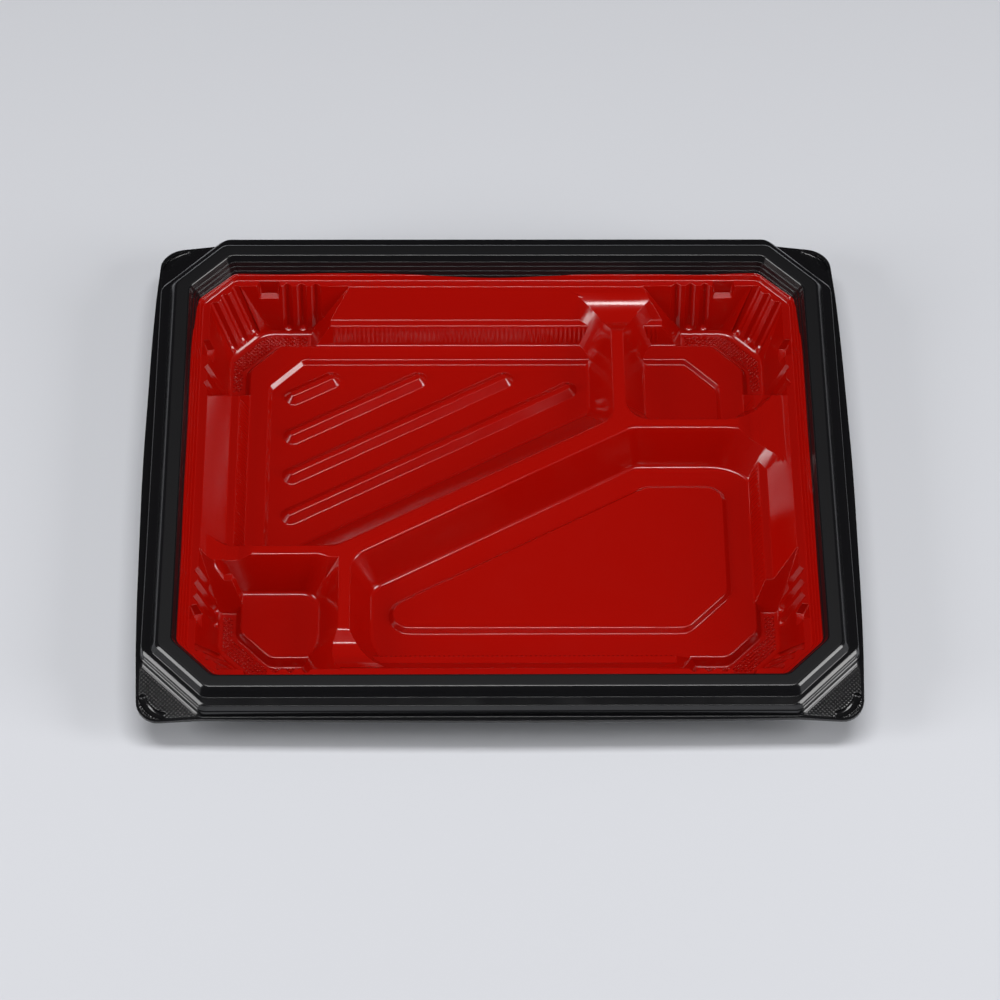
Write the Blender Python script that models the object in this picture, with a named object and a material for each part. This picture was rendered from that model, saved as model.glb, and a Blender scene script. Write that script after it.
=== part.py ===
"""Thermoformed bento tray: a black base sheet with a red film laminated to its inside.

The tray is one formed sheet, so both layers follow the same inner surface. That surface is described
once, as the hollow that food fills, and is grown outward by a distance to get every other face:
the underside of the film, the top of the sheet and the underside of the sheet.
Lengths are in metres, +Z is up, +X is the long side, and the tray stands on its four corner feet.
"""

import math

import bmesh
import bpy

MM = 0.001

# Layers
SHEET = 0.5 * MM
FILM = 0.25 * MM
LAYER_GAP = 0.3 * MM

# Rim: inner edge of the crest, an oblong with cut corners
RIM_LENGTH = 215.0 * MM
RIM_WIDTH = 172.4 * MM
RIM_CORNER_CUT = 13.7 * MM
RIM_CORNER_RADIUS = 4.0 * MM

# Outer wall of the hollow, from the rim down to the floor
RIBBED_DROP = 8.4 * MM
RIBBED_RUN = 4.6 * MM
RIB_COUNT = 4
RIB_LEDGE = 0.35 * MM
RIB_TOP_MARGIN = 2.1 * MM
RIB_PITCH = 1.5 * MM
LEDGE_WIDTH = 2.85 * MM
UPPER_DROP = 9.3 * MM
UPPER_RUN = 7.65 * MM
MID_LEDGE_WIDTH = 2.7 * MM
LOWER_DROP = 6.8 * MM
LOWER_RUN = 3.3 * MM

# Compartments and the dividers between them
DIVIDER_HEIGHT = 13.5 * MM
DIVIDER_DRAFT = 7.0 / 13.5
DIVIDER_EDGE = 0.7 * MM
FOOT_FILLET = 1.3 * MM
DIAGONAL_ANGLE = math.radians(29.0)
DIAGONAL_CENTRE_Y = -2.2 * MM
DIAGONAL_WIDTH = 6.4 * MM
DIAGONAL_REAR_DRAFT = 1.0
LEFT_BAR_Y = -30.45 * MM
LEFT_BAR_WIDTH = 3.5 * MM
RIGHT_BAR_Y = 21.5 * MM
RIGHT_BAR_WIDTH = 3.8 * MM
FRONT_POST_X = -51.7 * MM
FRONT_POST_WIDTH = 3.6 * MM
REAR_POST_X = 42.2 * MM
REAR_POST_WIDTH = 4.0 * MM
POST_FLARE_RADIUS = 17.0 * MM
RIGHT_BAR_FLARE_RADIUS = 20.0 * MM
CROSSING_RADIUS = 10.0 * MM
POCKET_WALL_INSET = 9.0 * MM
END_DIP = 2.2 * MM
END_RAMP_INSET = 24.6 * MM
END_RAMP_RUN = 4.7 * MM
END_SWEEP_RUN = 11.0 * MM
END_SWEEP_RISE = 4.0 * MM

# Floor panels
PANEL_STEP = 1.5 * MM
PANEL_STEP_RUN = 1.2 * MM
PANEL_LEFT_X = -80.0 * MM
PANEL_RIGHT_X = 78.3 * MM
PANEL_REAR_Y = 58.7 * MM
PANEL_LEFT_CUT = 11.7 * MM
PANEL_RIGHT_CUT = 11.5 * MM
PANEL_RADIUS = 2.5 * MM
RAISED_STEP = 1.5 * MM
RAISED_STEP_RUN = 1.5 * MM
RAISED_FRONT_Y = -55.5 * MM
RAISED_REAR_Y = 4.3 * MM
RAISED_RIGHT_X = 78.5 * MM
RAISED_CORNER_CUT = 14.8 * MM
RAISED_DIAGONAL_GAP = 15.7 * MM
RAISED_RADIUS = 7.0 * MM

# Four parallel ridges on the large panel
RIDGE_COUNT = 4
RIDGE_PITCH = 16.8 * MM
RIDGE_START_X = -71.0 * MM
RIDGE_START_Y = 43.6 * MM
RIDGE_END_X = 24.7 * MM
RIDGE_END_Y = 50.7 * MM
RIDGE_HEIGHT = 2.2 * MM
RIDGE_BASE_WIDTH = 7.0 * MM
RIDGE_TOP_WIDTH = 1.8 * MM

# Corner bays, whose floors are the feet of the tray
FOOT_DROP = 3.0 * MM
BAY_EDGE_STEP = 0.3 * MM
BAY_WALL_RUN = 6.35 * MM
BAY_CORNER_RUN = 10.5 * MM
BAY_CHEEK_X = 51.7 * MM
BAY_CHEEK_Y = 31.4 * MM
BAY_CHEEK_DRAFT = 0.74
FOOT_STEP_X = 86.6 * MM
FOOT_STEP_Y = 64.8 * MM
FOOT_STEP_CUT = 10.4 * MM
FOOT_STEP_DRAFT = 0.6
BAY_RADIUS = 3.0 * MM

# Grooves down the bay walls
FLUTE_DEPTH = 1.4 * MM
FLUTE_MOUTH_WIDTH = 3.2 * MM
FLUTE_BACK_WIDTH = 1.2 * MM
FLUTE_END_RISE = 2.6 * MM
FLUTE_END_RUN = 1.4 * MM
FLUTE_PITCH = 5.05 * MM
LONG_FLUTE_X = 68.65 * MM
CORNER_FLUTE_COUNT = 3
LONG_FLUTE_COUNT = 3
REAR_FLUTE_Y = 39.9 * MM
REAR_FLUTE_PITCH = 6.6 * MM
REAR_FLUTE_COUNT = 2
FRONT_FLUTE_Y = 45.85 * MM
FRONT_FLUTE_PITCH = 5.25 * MM
FRONT_FLUTE_COUNT = 3

# Square lugs cut into the ledge above the bay walls
LUG_DEPTH = 5.0 * MM
LUG_SHELF_INSET = 6.3 * MM
LUG_DRAFT = 0.28
LUG_SIDE_DRAFT = 0.12
LUG_FLARE = 0.8 * MM
LONG_LUG_X = 80.15 * MM
LONG_LUG_WIDTH = 6.0 * MM
REAR_LUG_Y = 52.0 * MM
REAR_LUG_WIDTH = 5.2 * MM
FRONT_LUG_Y = 57.0 * MM
FRONT_LUG_WIDTH = 4.4 * MM

# Red film: its upper edge lies lower along the rear wall than elsewhere
FILM_EDGE_DROP = 3.2 * MM
FILM_EDGE_REAR_DROP = 7.3 * MM
FILM_EDGE_BEND_Y = 58.0 * MM
FILM_EDGE_BEND_RUN = 14.0 * MM

# Crest, stepped skirt and flange
CREST_WIDTH = 4.1 * MM
CREST_ROUND_WIDTH = 2.4 * MM
CREST_ROUND_DROP = 2.0 * MM
FIRST_RISER_DROP = 1.0 * MM
FIRST_RISER_RUN = 0.3 * MM
TREAD_WIDTH = 3.1 * MM
TREAD_FALL = 0.4 * MM
SECOND_RISER_DROP = 5.6 * MM
SECOND_RISER_RUN = 0.5 * MM
FLANGE_TAB_LENGTH = 237.8 * MM
FLANGE_TAB_WIDTH = 194.6 * MM
FLANGE_END_BOW = 2.0 * MM
FLANGE_SIDE_BOW = 1.2 * MM
FLANGE_RADIUS = 8.0 * MM
FLANGE_LIP = 0.6 * MM
TAB_FALL = 0.2

# Reach of cutters past the faces that they cut
CLEAR = 2.0 * MM
FAR = 160.0 * MM

ARC_STEP = math.radians(15.0)
BOW_SIDES = 4
FLAT_ANGLE = math.radians(0.05)
MERGE_DISTANCE = 0.01 * MM

LEDGE_Z = -RIBBED_DROP
MID_LEDGE_Z = LEDGE_Z - UPPER_DROP
FLOOR_Z = MID_LEDGE_Z - LOWER_DROP
PANEL_Z = FLOOR_Z - PANEL_STEP
FOOT_Z = FLOOR_Z - FOOT_DROP
DIVIDER_Z = FLOOR_Z + DIVIDER_HEIGHT
LEDGE_INSET = RIBBED_RUN + LEDGE_WIDTH
BASIN_WALL = FILM + LAYER_GAP + SHEET
TRAY_HEIGHT = BASIN_WALL - FOOT_Z


def clear_scene():
    """Remove every object that the file holds."""
    for old in list(bpy.data.objects):
        bpy.data.objects.remove(old, do_unlink=True)


def material(name, colour, roughness, metallic=0.0):
    """A Principled material with a plain colour."""
    made = bpy.data.materials.new(name)
    made.use_nodes = True
    shader = made.node_tree.nodes["Principled BSDF"]
    shader.inputs["Base Color"].default_value = (*colour, 1.0)
    shader.inputs["Roughness"].default_value = roughness
    shader.inputs["Metallic"].default_value = metallic
    return made


def through(angle, x, y):
    """Distance from the origin of a line with this normal angle through a point."""
    return math.cos(angle) * x + math.sin(angle) * y


def outline(sides):
    """Points of a convex outline whose corners are round.

    Each side is (normal angle, distance from the origin, radius of the corner that follows it),
    and the sides run counterclockwise. A corner's arc has its centre where the two sides, drawn in
    by the radius, cross.
    """
    points = []
    for index, (angle, reach, radius) in enumerate(sides):
        next_angle, next_reach, _ = sides[(index + 1) % len(sides)]
        turn = (next_angle - angle) % (2.0 * math.pi)
        scale = 1.0 / math.sin(turn)
        near = reach - radius
        far = next_reach - radius
        centre_x = scale * (near * math.sin(next_angle) - far * math.sin(angle))
        centre_y = scale * (far * math.cos(angle) - near * math.cos(next_angle))
        steps = max(1, round(turn / ARC_STEP))
        for step in range(steps + 1):
            heading = angle + turn * step / steps
            points.append((centre_x + radius * math.cos(heading), centre_y + radius * math.sin(heading)))
    return points


def loft(name, rings):
    """A closed solid through rings of equal point counts, listed from the top down."""
    mesh_maker = bmesh.new()
    loops = []
    for points, height in rings:
        loops.append([mesh_maker.verts.new((x, y, height)) for x, y in points])
    mesh_maker.faces.new(loops[0])
    mesh_maker.faces.new(reversed(loops[-1]))
    for upper, lower in zip(loops, loops[1:]):
        for index in range(len(upper)):
            after = (index + 1) % len(upper)
            mesh_maker.faces.new((upper[index], lower[index], lower[after], upper[after]))
    return finish_mesh(name, mesh_maker)


def joined(name, parts):
    """One object from solids that don't touch each other."""
    mesh_maker = bmesh.new()
    for part in parts:
        mesh_maker.from_mesh(part.data)
        bpy.data.objects.remove(part, do_unlink=True)
    return finish_mesh(name, mesh_maker)


def finish_mesh(name, mesh_maker):
    """Store a bmesh as an object in the scene."""
    mesh = bpy.data.meshes.new(name)
    mesh_maker.to_mesh(mesh)
    mesh_maker.free()
    made = bpy.data.objects.new(name, mesh)
    bpy.context.scene.collection.objects.link(made)
    return made


def combine(base, tool, operation):
    """Apply one exact Boolean to the base and remove the tool."""
    modifier = base.modifiers.new("combine", "BOOLEAN")
    modifier.operation = operation
    modifier.solver = "EXACT"
    modifier.object = tool
    bpy.context.view_layer.update()
    evaluated = base.evaluated_get(bpy.context.evaluated_depsgraph_get())
    result = bpy.data.meshes.new_from_object(evaluated)
    base.modifiers.clear()
    base.data = result
    bpy.data.objects.remove(tool, do_unlink=True)
    return base


def grown_profile(profile, grow):
    """Move a profile of (inset, height) points outward from the hollow, keeping its angles.

    The profile is read from the rim to the middle, so the material lies on its lower side. Each
    inner point moves along the mitre of its two neighbouring stretches.
    """
    normals = []
    for (inset, height), (next_inset, next_height) in zip(profile, profile[1:]):
        run = next_inset - inset
        rise = next_height - height
        length = math.hypot(run, rise)
        normals.append((rise / length, -run / length))
    moved = []
    for index, (inset, height) in enumerate(profile):
        first = normals[max(0, index - 1)]
        second = normals[min(index, len(normals) - 1)]
        spread = 1.0 + first[0] * second[0] + first[1] * second[1]
        moved.append((
            inset + grow * (first[0] + second[0]) / spread,
            height + grow * (first[1] + second[1]) / spread,
        ))
    return moved


def octagon(inset):
    """The rim's outline drawn in by a distance. Its corner cuts shrink until only a round is left."""
    half_length = RIM_LENGTH / 2.0 - inset
    half_width = RIM_WIDTH / 2.0 - inset
    cut = max(RIM_CORNER_CUT - inset * (2.0 - math.sqrt(2.0)), RIM_CORNER_RADIUS)
    return eight_sides(half_length, half_width, cut, RIM_CORNER_RADIUS)


def eight_sides(half_length, half_width, cut, radius):
    """Outline of an oblong with cut corners."""
    corner = (half_length + half_width - cut) / math.sqrt(2.0)
    reaches = (half_length, corner, half_width, corner)
    return outline([(index * math.pi / 4.0, reaches[index % 4], radius) for index in range(8)])


def octagon_loft(name, profile):
    """A solid whose sides follow a profile of (inset, height) points round the rim's outline."""
    return loft(name, [(octagon(inset), height) for inset, height in profile])


def ribbed(profile):
    """Add the fine level ribs to the first stretch of a wall profile."""
    (top_inset, top_height), (low_inset, low_height) = profile[1], profile[2]
    run_per_drop = (low_inset - top_inset) / (top_height - low_height)
    points = [profile[0]]
    for index in range(RIB_COUNT):
        height = top_height - RIB_TOP_MARGIN - index * RIB_PITCH
        inset = top_inset + (top_height - height) * run_per_drop
        points.append((inset, height))
        points.append((inset + RIB_LEDGE, height - RIB_LEDGE / 2.0))
    return points + profile[2:]


def bowl(grow):
    """The hollow inside the tray's outer wall, open below its floor."""
    wall_ratio = RIBBED_RUN / RIBBED_DROP
    profile = [
        (-CLEAR * wall_ratio, CLEAR),
        (0.0, 0.0),
        (RIBBED_RUN, LEDGE_Z),
        (LEDGE_INSET, LEDGE_Z),
        (LEDGE_INSET + UPPER_RUN, MID_LEDGE_Z),
        (LEDGE_INSET + UPPER_RUN + MID_LEDGE_WIDTH, MID_LEDGE_Z),
    ]
    lower_ratio = LOWER_RUN / LOWER_DROP
    end_drop = LOWER_DROP + FOOT_DROP
    profile.append((profile[-1][0] + end_drop * lower_ratio, MID_LEDGE_Z - end_drop))
    return octagon_loft("bowl", ribbed(grown_profile(profile, grow)))


def divider_top_space(grow):
    """The space above the dividers, which dip and then sweep up where they meet the outer wall."""
    dip_z = DIVIDER_Z - END_DIP
    ramp_foot = END_RAMP_INSET - END_RAMP_RUN
    sweep_foot = ramp_foot - 3.0 * MM
    sweep_top = sweep_foot - END_SWEEP_RUN
    profile = [
        (sweep_top - CLEAR, dip_z + END_SWEEP_RISE),
        (sweep_top + END_SWEEP_RUN * 0.12, dip_z + END_SWEEP_RISE),
        (sweep_top + END_SWEEP_RUN * 0.30, dip_z + END_SWEEP_RISE * 0.42),
        (sweep_top + END_SWEEP_RUN * 0.58, dip_z + END_SWEEP_RISE * 0.12),
        (sweep_foot, dip_z),
        (ramp_foot, dip_z),
        (END_RAMP_INSET, DIVIDER_Z),
        (END_RAMP_INSET + CLEAR, DIVIDER_Z),
    ]
    moved = grown_profile(profile, grow)
    moved[0] = (-RIM_LENGTH / 8.0, moved[0][1])
    rings = [(octagon(moved[0][0]), CLEAR)]
    rings += [(octagon(inset), height) for inset, height in moved]
    return loft("divider_top_space", rings)


def side(angle, reach, draft, radius):
    """One wall of a pocket or block: its reach and its corner radius hold at the reference height."""
    return (angle, reach, draft, radius)


def drafted_outline(sides, rise, grow):
    """Outline of drafted walls at a height above their reference, moved out by a distance."""
    moved = []
    for index, (angle, reach, draft, radius) in enumerate(sides):
        shift = rise * draft + grow * math.hypot(1.0, draft)
        next_draft = sides[(index + 1) % len(sides)][2]
        radius_shift = min(rise * draft, rise * next_draft) + grow
        moved.append((angle, reach + shift, max(radius + radius_shift, 0.4 * MM)))
    return outline(moved)


DIAGONAL_FRONT = (math.pi / 2.0 + DIAGONAL_ANGLE)
DIAGONAL_REAR = (3.0 * math.pi / 2.0 + DIAGONAL_ANGLE)
EAST, NORTH, WEST, SOUTH = 0.0, math.pi / 2.0, math.pi, 3.0 * math.pi / 2.0
NORTH_EAST, NORTH_WEST, SOUTH_EAST = math.pi / 4.0, 3.0 * math.pi / 4.0, 7.0 * math.pi / 4.0


def diagonal_reach(angle, offset):
    """Reach of a line along the diagonal divider, moved from its centre line."""
    return through(angle, 0.0, DIAGONAL_CENTRE_Y) + offset


def pocket_plans():
    """Walls of the four compartments, each with the depth of its floor."""
    half_length = RIM_LENGTH / 2.0 - POCKET_WALL_INSET
    half_width = RIM_WIDTH / 2.0 - POCKET_WALL_INSET
    draft = DIVIDER_DRAFT
    corner = CROSSING_RADIUS * 0.6
    large = [
        side(EAST, REAR_POST_X - REAR_POST_WIDTH / 2.0, draft, POST_FLARE_RADIUS),
        side(NORTH, half_width, draft, corner),
        side(WEST, half_length, draft, CROSSING_RADIUS),
        side(SOUTH, -(LEFT_BAR_Y + LEFT_BAR_WIDTH / 2.0), draft, CROSSING_RADIUS),
        side(DIAGONAL_REAR, diagonal_reach(DIAGONAL_REAR, -DIAGONAL_WIDTH / 2.0),
             DIAGONAL_REAR_DRAFT, CROSSING_RADIUS),
    ]
    front_left = [
        side(EAST, FRONT_POST_X - FRONT_POST_WIDTH / 2.0, draft, CROSSING_RADIUS * 0.8),
        side(NORTH, LEFT_BAR_Y - LEFT_BAR_WIDTH / 2.0, draft, corner),
        side(WEST, half_length, draft, corner),
        side(SOUTH, half_width, draft, POST_FLARE_RADIUS),
    ]
    rear_right = [
        side(EAST, half_length, draft, corner),
        side(NORTH, half_width, draft, POST_FLARE_RADIUS),
        side(WEST, -(REAR_POST_X + REAR_POST_WIDTH / 2.0), draft, CROSSING_RADIUS * 0.8),
        side(SOUTH, -(RIGHT_BAR_Y + RIGHT_BAR_WIDTH / 2.0), draft, RIGHT_BAR_FLARE_RADIUS),
    ]
    front_right = [
        side(EAST, half_length, draft, RIGHT_BAR_FLARE_RADIUS),
        side(NORTH, RIGHT_BAR_Y - RIGHT_BAR_WIDTH / 2.0, draft, CROSSING_RADIUS),
        side(DIAGONAL_FRONT, diagonal_reach(DIAGONAL_FRONT, -DIAGONAL_WIDTH / 2.0),
             draft, CROSSING_RADIUS),
        side(WEST, -(FRONT_POST_X + FRONT_POST_WIDTH / 2.0), draft, POST_FLARE_RADIUS),
        side(SOUTH, half_width, draft, corner),
    ]
    return [(large, PANEL_Z), (front_left, FLOOR_Z), (rear_right, PANEL_Z), (front_right, FLOOR_Z)]


def pocket(sides, floor, grow):
    """One compartment: its walls lean in, with an eased top edge and a fillet above its floor."""
    edge_z = DIVIDER_Z - DIVIDER_EDGE
    fillet_z = floor + FOOT_FILLET
    wall = drafted_outline(sides, edge_z - DIVIDER_Z, grow)
    flare = [(a, r + DIVIDER_EDGE * 0.5, d, c) for a, r, d, c in sides]
    rings = [
        (drafted_outline(flare, CLEAR * 4.0, grow), DIVIDER_Z + CLEAR * 4.0 - grow),
        (drafted_outline(flare, 0.0, grow), DIVIDER_Z - grow * 0.6),
        (wall, edge_z - grow * 0.6),
        (drafted_outline(sides, fillet_z - grow - DIVIDER_Z, grow), fillet_z - grow),
    ]
    low = [(a, r - FOOT_FILLET * 1.2, d, c) for a, r, d, c in sides]
    deep = floor - FOOT_FILLET * 0.7 - grow
    rings.append((drafted_outline(low, deep - DIVIDER_Z, grow), deep))
    return loft("pocket", rings)


def floor_block(grow):
    """Everything below the compartments: flat floor, two sunk panels and one raised panel."""
    top = FLOOR_Z - grow
    bottom = PANEL_Z - BASIN_WALL - CLEAR * 2.0
    square = [(EAST, FAR, MM), (NORTH, FAR, MM), (WEST, FAR, MM), (SOUTH, FAR, MM)]
    block = loft("floor_block", [(outline(square), top), (outline(square), bottom)])
    for sides in panel_plans():
        panel_low = PANEL_Z - grow
        rings = [
            (drafted_outline(sides, CLEAR - grow, grow), FLOOR_Z + CLEAR - grow),
            (drafted_outline(sides, panel_low - FLOOR_Z, grow), panel_low),
        ]
        block = combine(block, loft("panel", rings), "DIFFERENCE")
    return block


def panel_plans():
    """Outlines of the two sunk panels. Under the dividers their edges follow the divider lines."""
    draft = PANEL_STEP_RUN / PANEL_STEP
    left_cut = through(NORTH_WEST, PANEL_LEFT_X, PANEL_REAR_Y - PANEL_LEFT_CUT)
    right_cut = through(NORTH_EAST, PANEL_RIGHT_X, PANEL_REAR_Y - PANEL_RIGHT_CUT)
    large = [
        side(EAST, REAR_POST_X, 0.0, PANEL_RADIUS),
        side(NORTH, PANEL_REAR_Y, draft, PANEL_RADIUS),
        side(NORTH_WEST, left_cut, draft, PANEL_RADIUS),
        side(WEST, -PANEL_LEFT_X, draft, PANEL_RADIUS),
        side(SOUTH, -LEFT_BAR_Y, 0.0, PANEL_RADIUS),
        side(DIAGONAL_REAR, diagonal_reach(DIAGONAL_REAR, 0.0), 0.0, PANEL_RADIUS),
    ]
    rear_right = [
        side(EAST, PANEL_RIGHT_X, draft, PANEL_RADIUS),
        side(NORTH_EAST, right_cut, draft, PANEL_RADIUS),
        side(NORTH, PANEL_REAR_Y, draft, PANEL_RADIUS),
        side(WEST, -REAR_POST_X, 0.0, PANEL_RADIUS),
        side(SOUTH, -RIGHT_BAR_Y, 0.0, PANEL_RADIUS),
    ]
    return [large, rear_right]


def raised_panel(grow):
    """The raised panel of the front right compartment, with one side along the diagonal."""
    draft = -RAISED_STEP_RUN / RAISED_STEP
    corner = through(SOUTH_EAST, RAISED_RIGHT_X, RAISED_FRONT_Y + RAISED_CORNER_CUT)
    slant = diagonal_reach(DIAGONAL_FRONT, -DIAGONAL_WIDTH / 2.0 - RAISED_DIAGONAL_GAP)
    sides = [
        side(EAST, RAISED_RIGHT_X, draft, RAISED_RADIUS),
        side(NORTH, RAISED_REAR_Y, draft, RAISED_RADIUS),
        side(DIAGONAL_FRONT, slant, draft, RAISED_RADIUS),
        side(SOUTH, -RAISED_FRONT_Y, draft, RAISED_RADIUS),
        side(SOUTH_EAST, corner, draft, RAISED_RADIUS),
    ]
    top = RAISED_STEP - grow
    low = -PANEL_STEP - grow
    return loft("raised_panel", [
        (drafted_outline(sides, top, -grow), FLOOR_Z + top),
        (drafted_outline(sides, low, -grow), FLOOR_Z + low),
    ])


def capsule(start, end, radius):
    """Outline of a bar with round ends."""
    heading = math.atan2(end[1] - start[1], end[0] - start[0])
    points = []
    for centre, first in ((end, heading - math.pi / 2.0), (start, heading + math.pi / 2.0)):
        steps = round(math.pi / (ARC_STEP * 1.5))
        for step in range(steps + 1):
            angle = first + math.pi * step / steps
            points.append((centre[0] + radius * math.cos(angle), centre[1] + radius * math.sin(angle)))
    return points


def ridges(grow):
    """The parallel ridges of the large panel, which end on a common line."""
    slope = math.tan(DIAGONAL_ANGLE)
    run = (RIDGE_BASE_WIDTH - RIDGE_TOP_WIDTH) / 2.0 / RIDGE_HEIGHT
    shrink = grow * (math.hypot(1.0, run) - run)
    made = None
    for index in range(RIDGE_COUNT):
        start = (RIDGE_START_X, RIDGE_START_Y - index * RIDGE_PITCH)
        reach = min(RIDGE_END_X, start[0] + (RIDGE_END_Y - start[1]) / slope)
        end = (reach, start[1] + (reach - start[0]) * slope)
        low = -PANEL_STEP
        rings = [
            (capsule(start, end, RIDGE_TOP_WIDTH / 2.0 - shrink), PANEL_Z + RIDGE_HEIGHT - grow),
            (capsule(start, end, RIDGE_BASE_WIDTH / 2.0 - shrink), PANEL_Z - grow),
            (capsule(start, end, RIDGE_BASE_WIDTH / 2.0 - shrink - low * run), PANEL_Z + low - grow),
        ]
        ridge = loft("ridge", rings)
        made = ridge if made is None else combine(made, ridge, "UNION")
    return made


def cheek_block(half_size, along_x, grow):
    """Solid middle of the outer wall between two corner bays."""
    top = LEDGE_Z + CLEAR * 1.5
    low = FOOT_Z - BASIN_WALL - CLEAR
    rings = []
    for height in (top, low):
        drop = LEDGE_Z - height
        half = half_size + drop * BAY_CHEEK_DRAFT - grow * math.hypot(1.0, BAY_CHEEK_DRAFT)
        x_reach, y_reach = (FAR, half) if along_x else (half, FAR)
        sides = [(EAST, x_reach, MM), (NORTH, y_reach, MM), (WEST, x_reach, MM), (SOUTH, y_reach, MM)]
        rings.append((outline(sides), height))
    return loft("cheek_block", rings)


def on_wall(angle, out, along):
    """A plan point beside a wall that faces an angle."""
    across = angle + math.pi / 2.0
    return (
        math.cos(angle) * out + math.cos(across) * along,
        math.sin(angle) * out + math.sin(across) * along,
    )


def flute(angle, reach, draft, centre, grow):
    """One groove down a bay wall, with slanting sides, run out above the foot."""
    spread = (FLUTE_MOUTH_WIDTH - FLUTE_BACK_WIDTH) / 2.0 / FLUTE_DEPTH
    half_back = (FLUTE_BACK_WIDTH + grow) / 2.0
    end = FOOT_Z + FLUTE_END_RISE - grow
    rings = []
    for height, depth in ((LEDGE_Z + CLEAR / 2.0, FLUTE_DEPTH), (end + FLUTE_END_RUN, FLUTE_DEPTH), (end, 0.0)):
        surface = reach + (height - LEDGE_Z) * draft + grow * math.hypot(1.0, draft)
        back = surface + depth + BAY_EDGE_STEP / 2.0
        front = surface - BAY_EDGE_STEP
        half_front = half_back + (back - front) * spread
        points = [
            on_wall(angle, front, centre - half_front),
            on_wall(angle, back, centre - half_back),
            on_wall(angle, back, centre + half_back),
            on_wall(angle, front, centre + half_front),
        ]
        rings.append((points, height))
    return loft("flute", rings)


def lug(angle, rim_reach, reach, draft, centre, width, grow):
    """One square recess in the ledge, with a steep back over a small shelf."""
    rings = []
    for height in (LEDGE_Z + CLEAR / 2.0, LEDGE_Z - LUG_DEPTH - grow):
        rise = height - LEDGE_Z + LUG_DEPTH
        back = rim_reach - LUG_SHELF_INSET + rise * LUG_DRAFT + grow * math.hypot(1.0, LUG_DRAFT)
        front = reach + (height - LEDGE_Z) * draft - CLEAR
        half = width / 2.0 + rise * LUG_SIDE_DRAFT + grow * math.hypot(1.0, LUG_SIDE_DRAFT)
        points = [
            on_wall(angle, front, centre - half - LUG_FLARE),
            on_wall(angle, back, centre - half),
            on_wall(angle, back, centre + half),
            on_wall(angle, front, centre + half + LUG_FLARE),
        ]
        rings.append((points, height))
    return loft("lug", rings)


def spread_about(centre, pitch, count):
    """Places of a row of grooves about its middle."""
    return [centre + (index - (count - 1) / 2.0) * pitch for index in range(count)]


def bay_features(grow, wall_draft, corner_draft):
    """Every groove and lug of the bay walls, as two joined solids."""
    bay_inset = LEDGE_INSET - BAY_EDGE_STEP
    flutes = []
    lugs = []
    end_rows = {
        1.0: (spread_about(REAR_FLUTE_Y, REAR_FLUTE_PITCH, REAR_FLUTE_COUNT), REAR_LUG_Y, REAR_LUG_WIDTH),
        -1.0: (spread_about(FRONT_FLUTE_Y, FRONT_FLUTE_PITCH, FRONT_FLUTE_COUNT), FRONT_LUG_Y, FRONT_LUG_WIDTH),
    }
    long_row = spread_about(LONG_FLUTE_X, FLUTE_PITCH, LONG_FLUTE_COUNT)
    corner_row = spread_about(0.0, FLUTE_PITCH, CORNER_FLUTE_COUNT)
    corner_reach = (RIM_LENGTH / 2.0 + RIM_WIDTH / 2.0 - RIM_CORNER_CUT) / math.sqrt(2.0) - bay_inset
    corner_middle = (RIM_WIDTH - RIM_LENGTH) / 2.0 / math.sqrt(2.0)
    for sign in (-1.0, 1.0):
        for angle in (NORTH, SOUTH):
            rim_reach = RIM_WIDTH / 2.0
            wall = (angle, rim_reach - bay_inset, wall_draft)
            flutes += [flute(*wall, sign * place_x, grow) for place_x in long_row]
            lugs.append(lug(angle, rim_reach, *wall[1:], sign * LONG_LUG_X, LONG_LUG_WIDTH, grow))
        for angle, hand in ((EAST, 1.0), (WEST, -1.0)):
            rim_reach = RIM_LENGTH / 2.0
            row, lug_y, lug_width = end_rows[sign]
            wall = (angle, rim_reach - bay_inset, wall_draft)
            flutes += [flute(*wall, hand * sign * place_y, grow) for place_y in row]
            lugs.append(lug(angle, rim_reach, *wall[1:], hand * sign * lug_y, lug_width, grow))
    for quarter in range(4):
        angle = math.pi / 4.0 + quarter * math.pi / 2.0
        middle = corner_middle if quarter % 2 == 0 else -corner_middle
        flutes += [flute(angle, corner_reach, corner_draft, middle + shift, grow) for shift in corner_row]
    return joined("flutes", flutes), joined("lugs", lugs)


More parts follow.
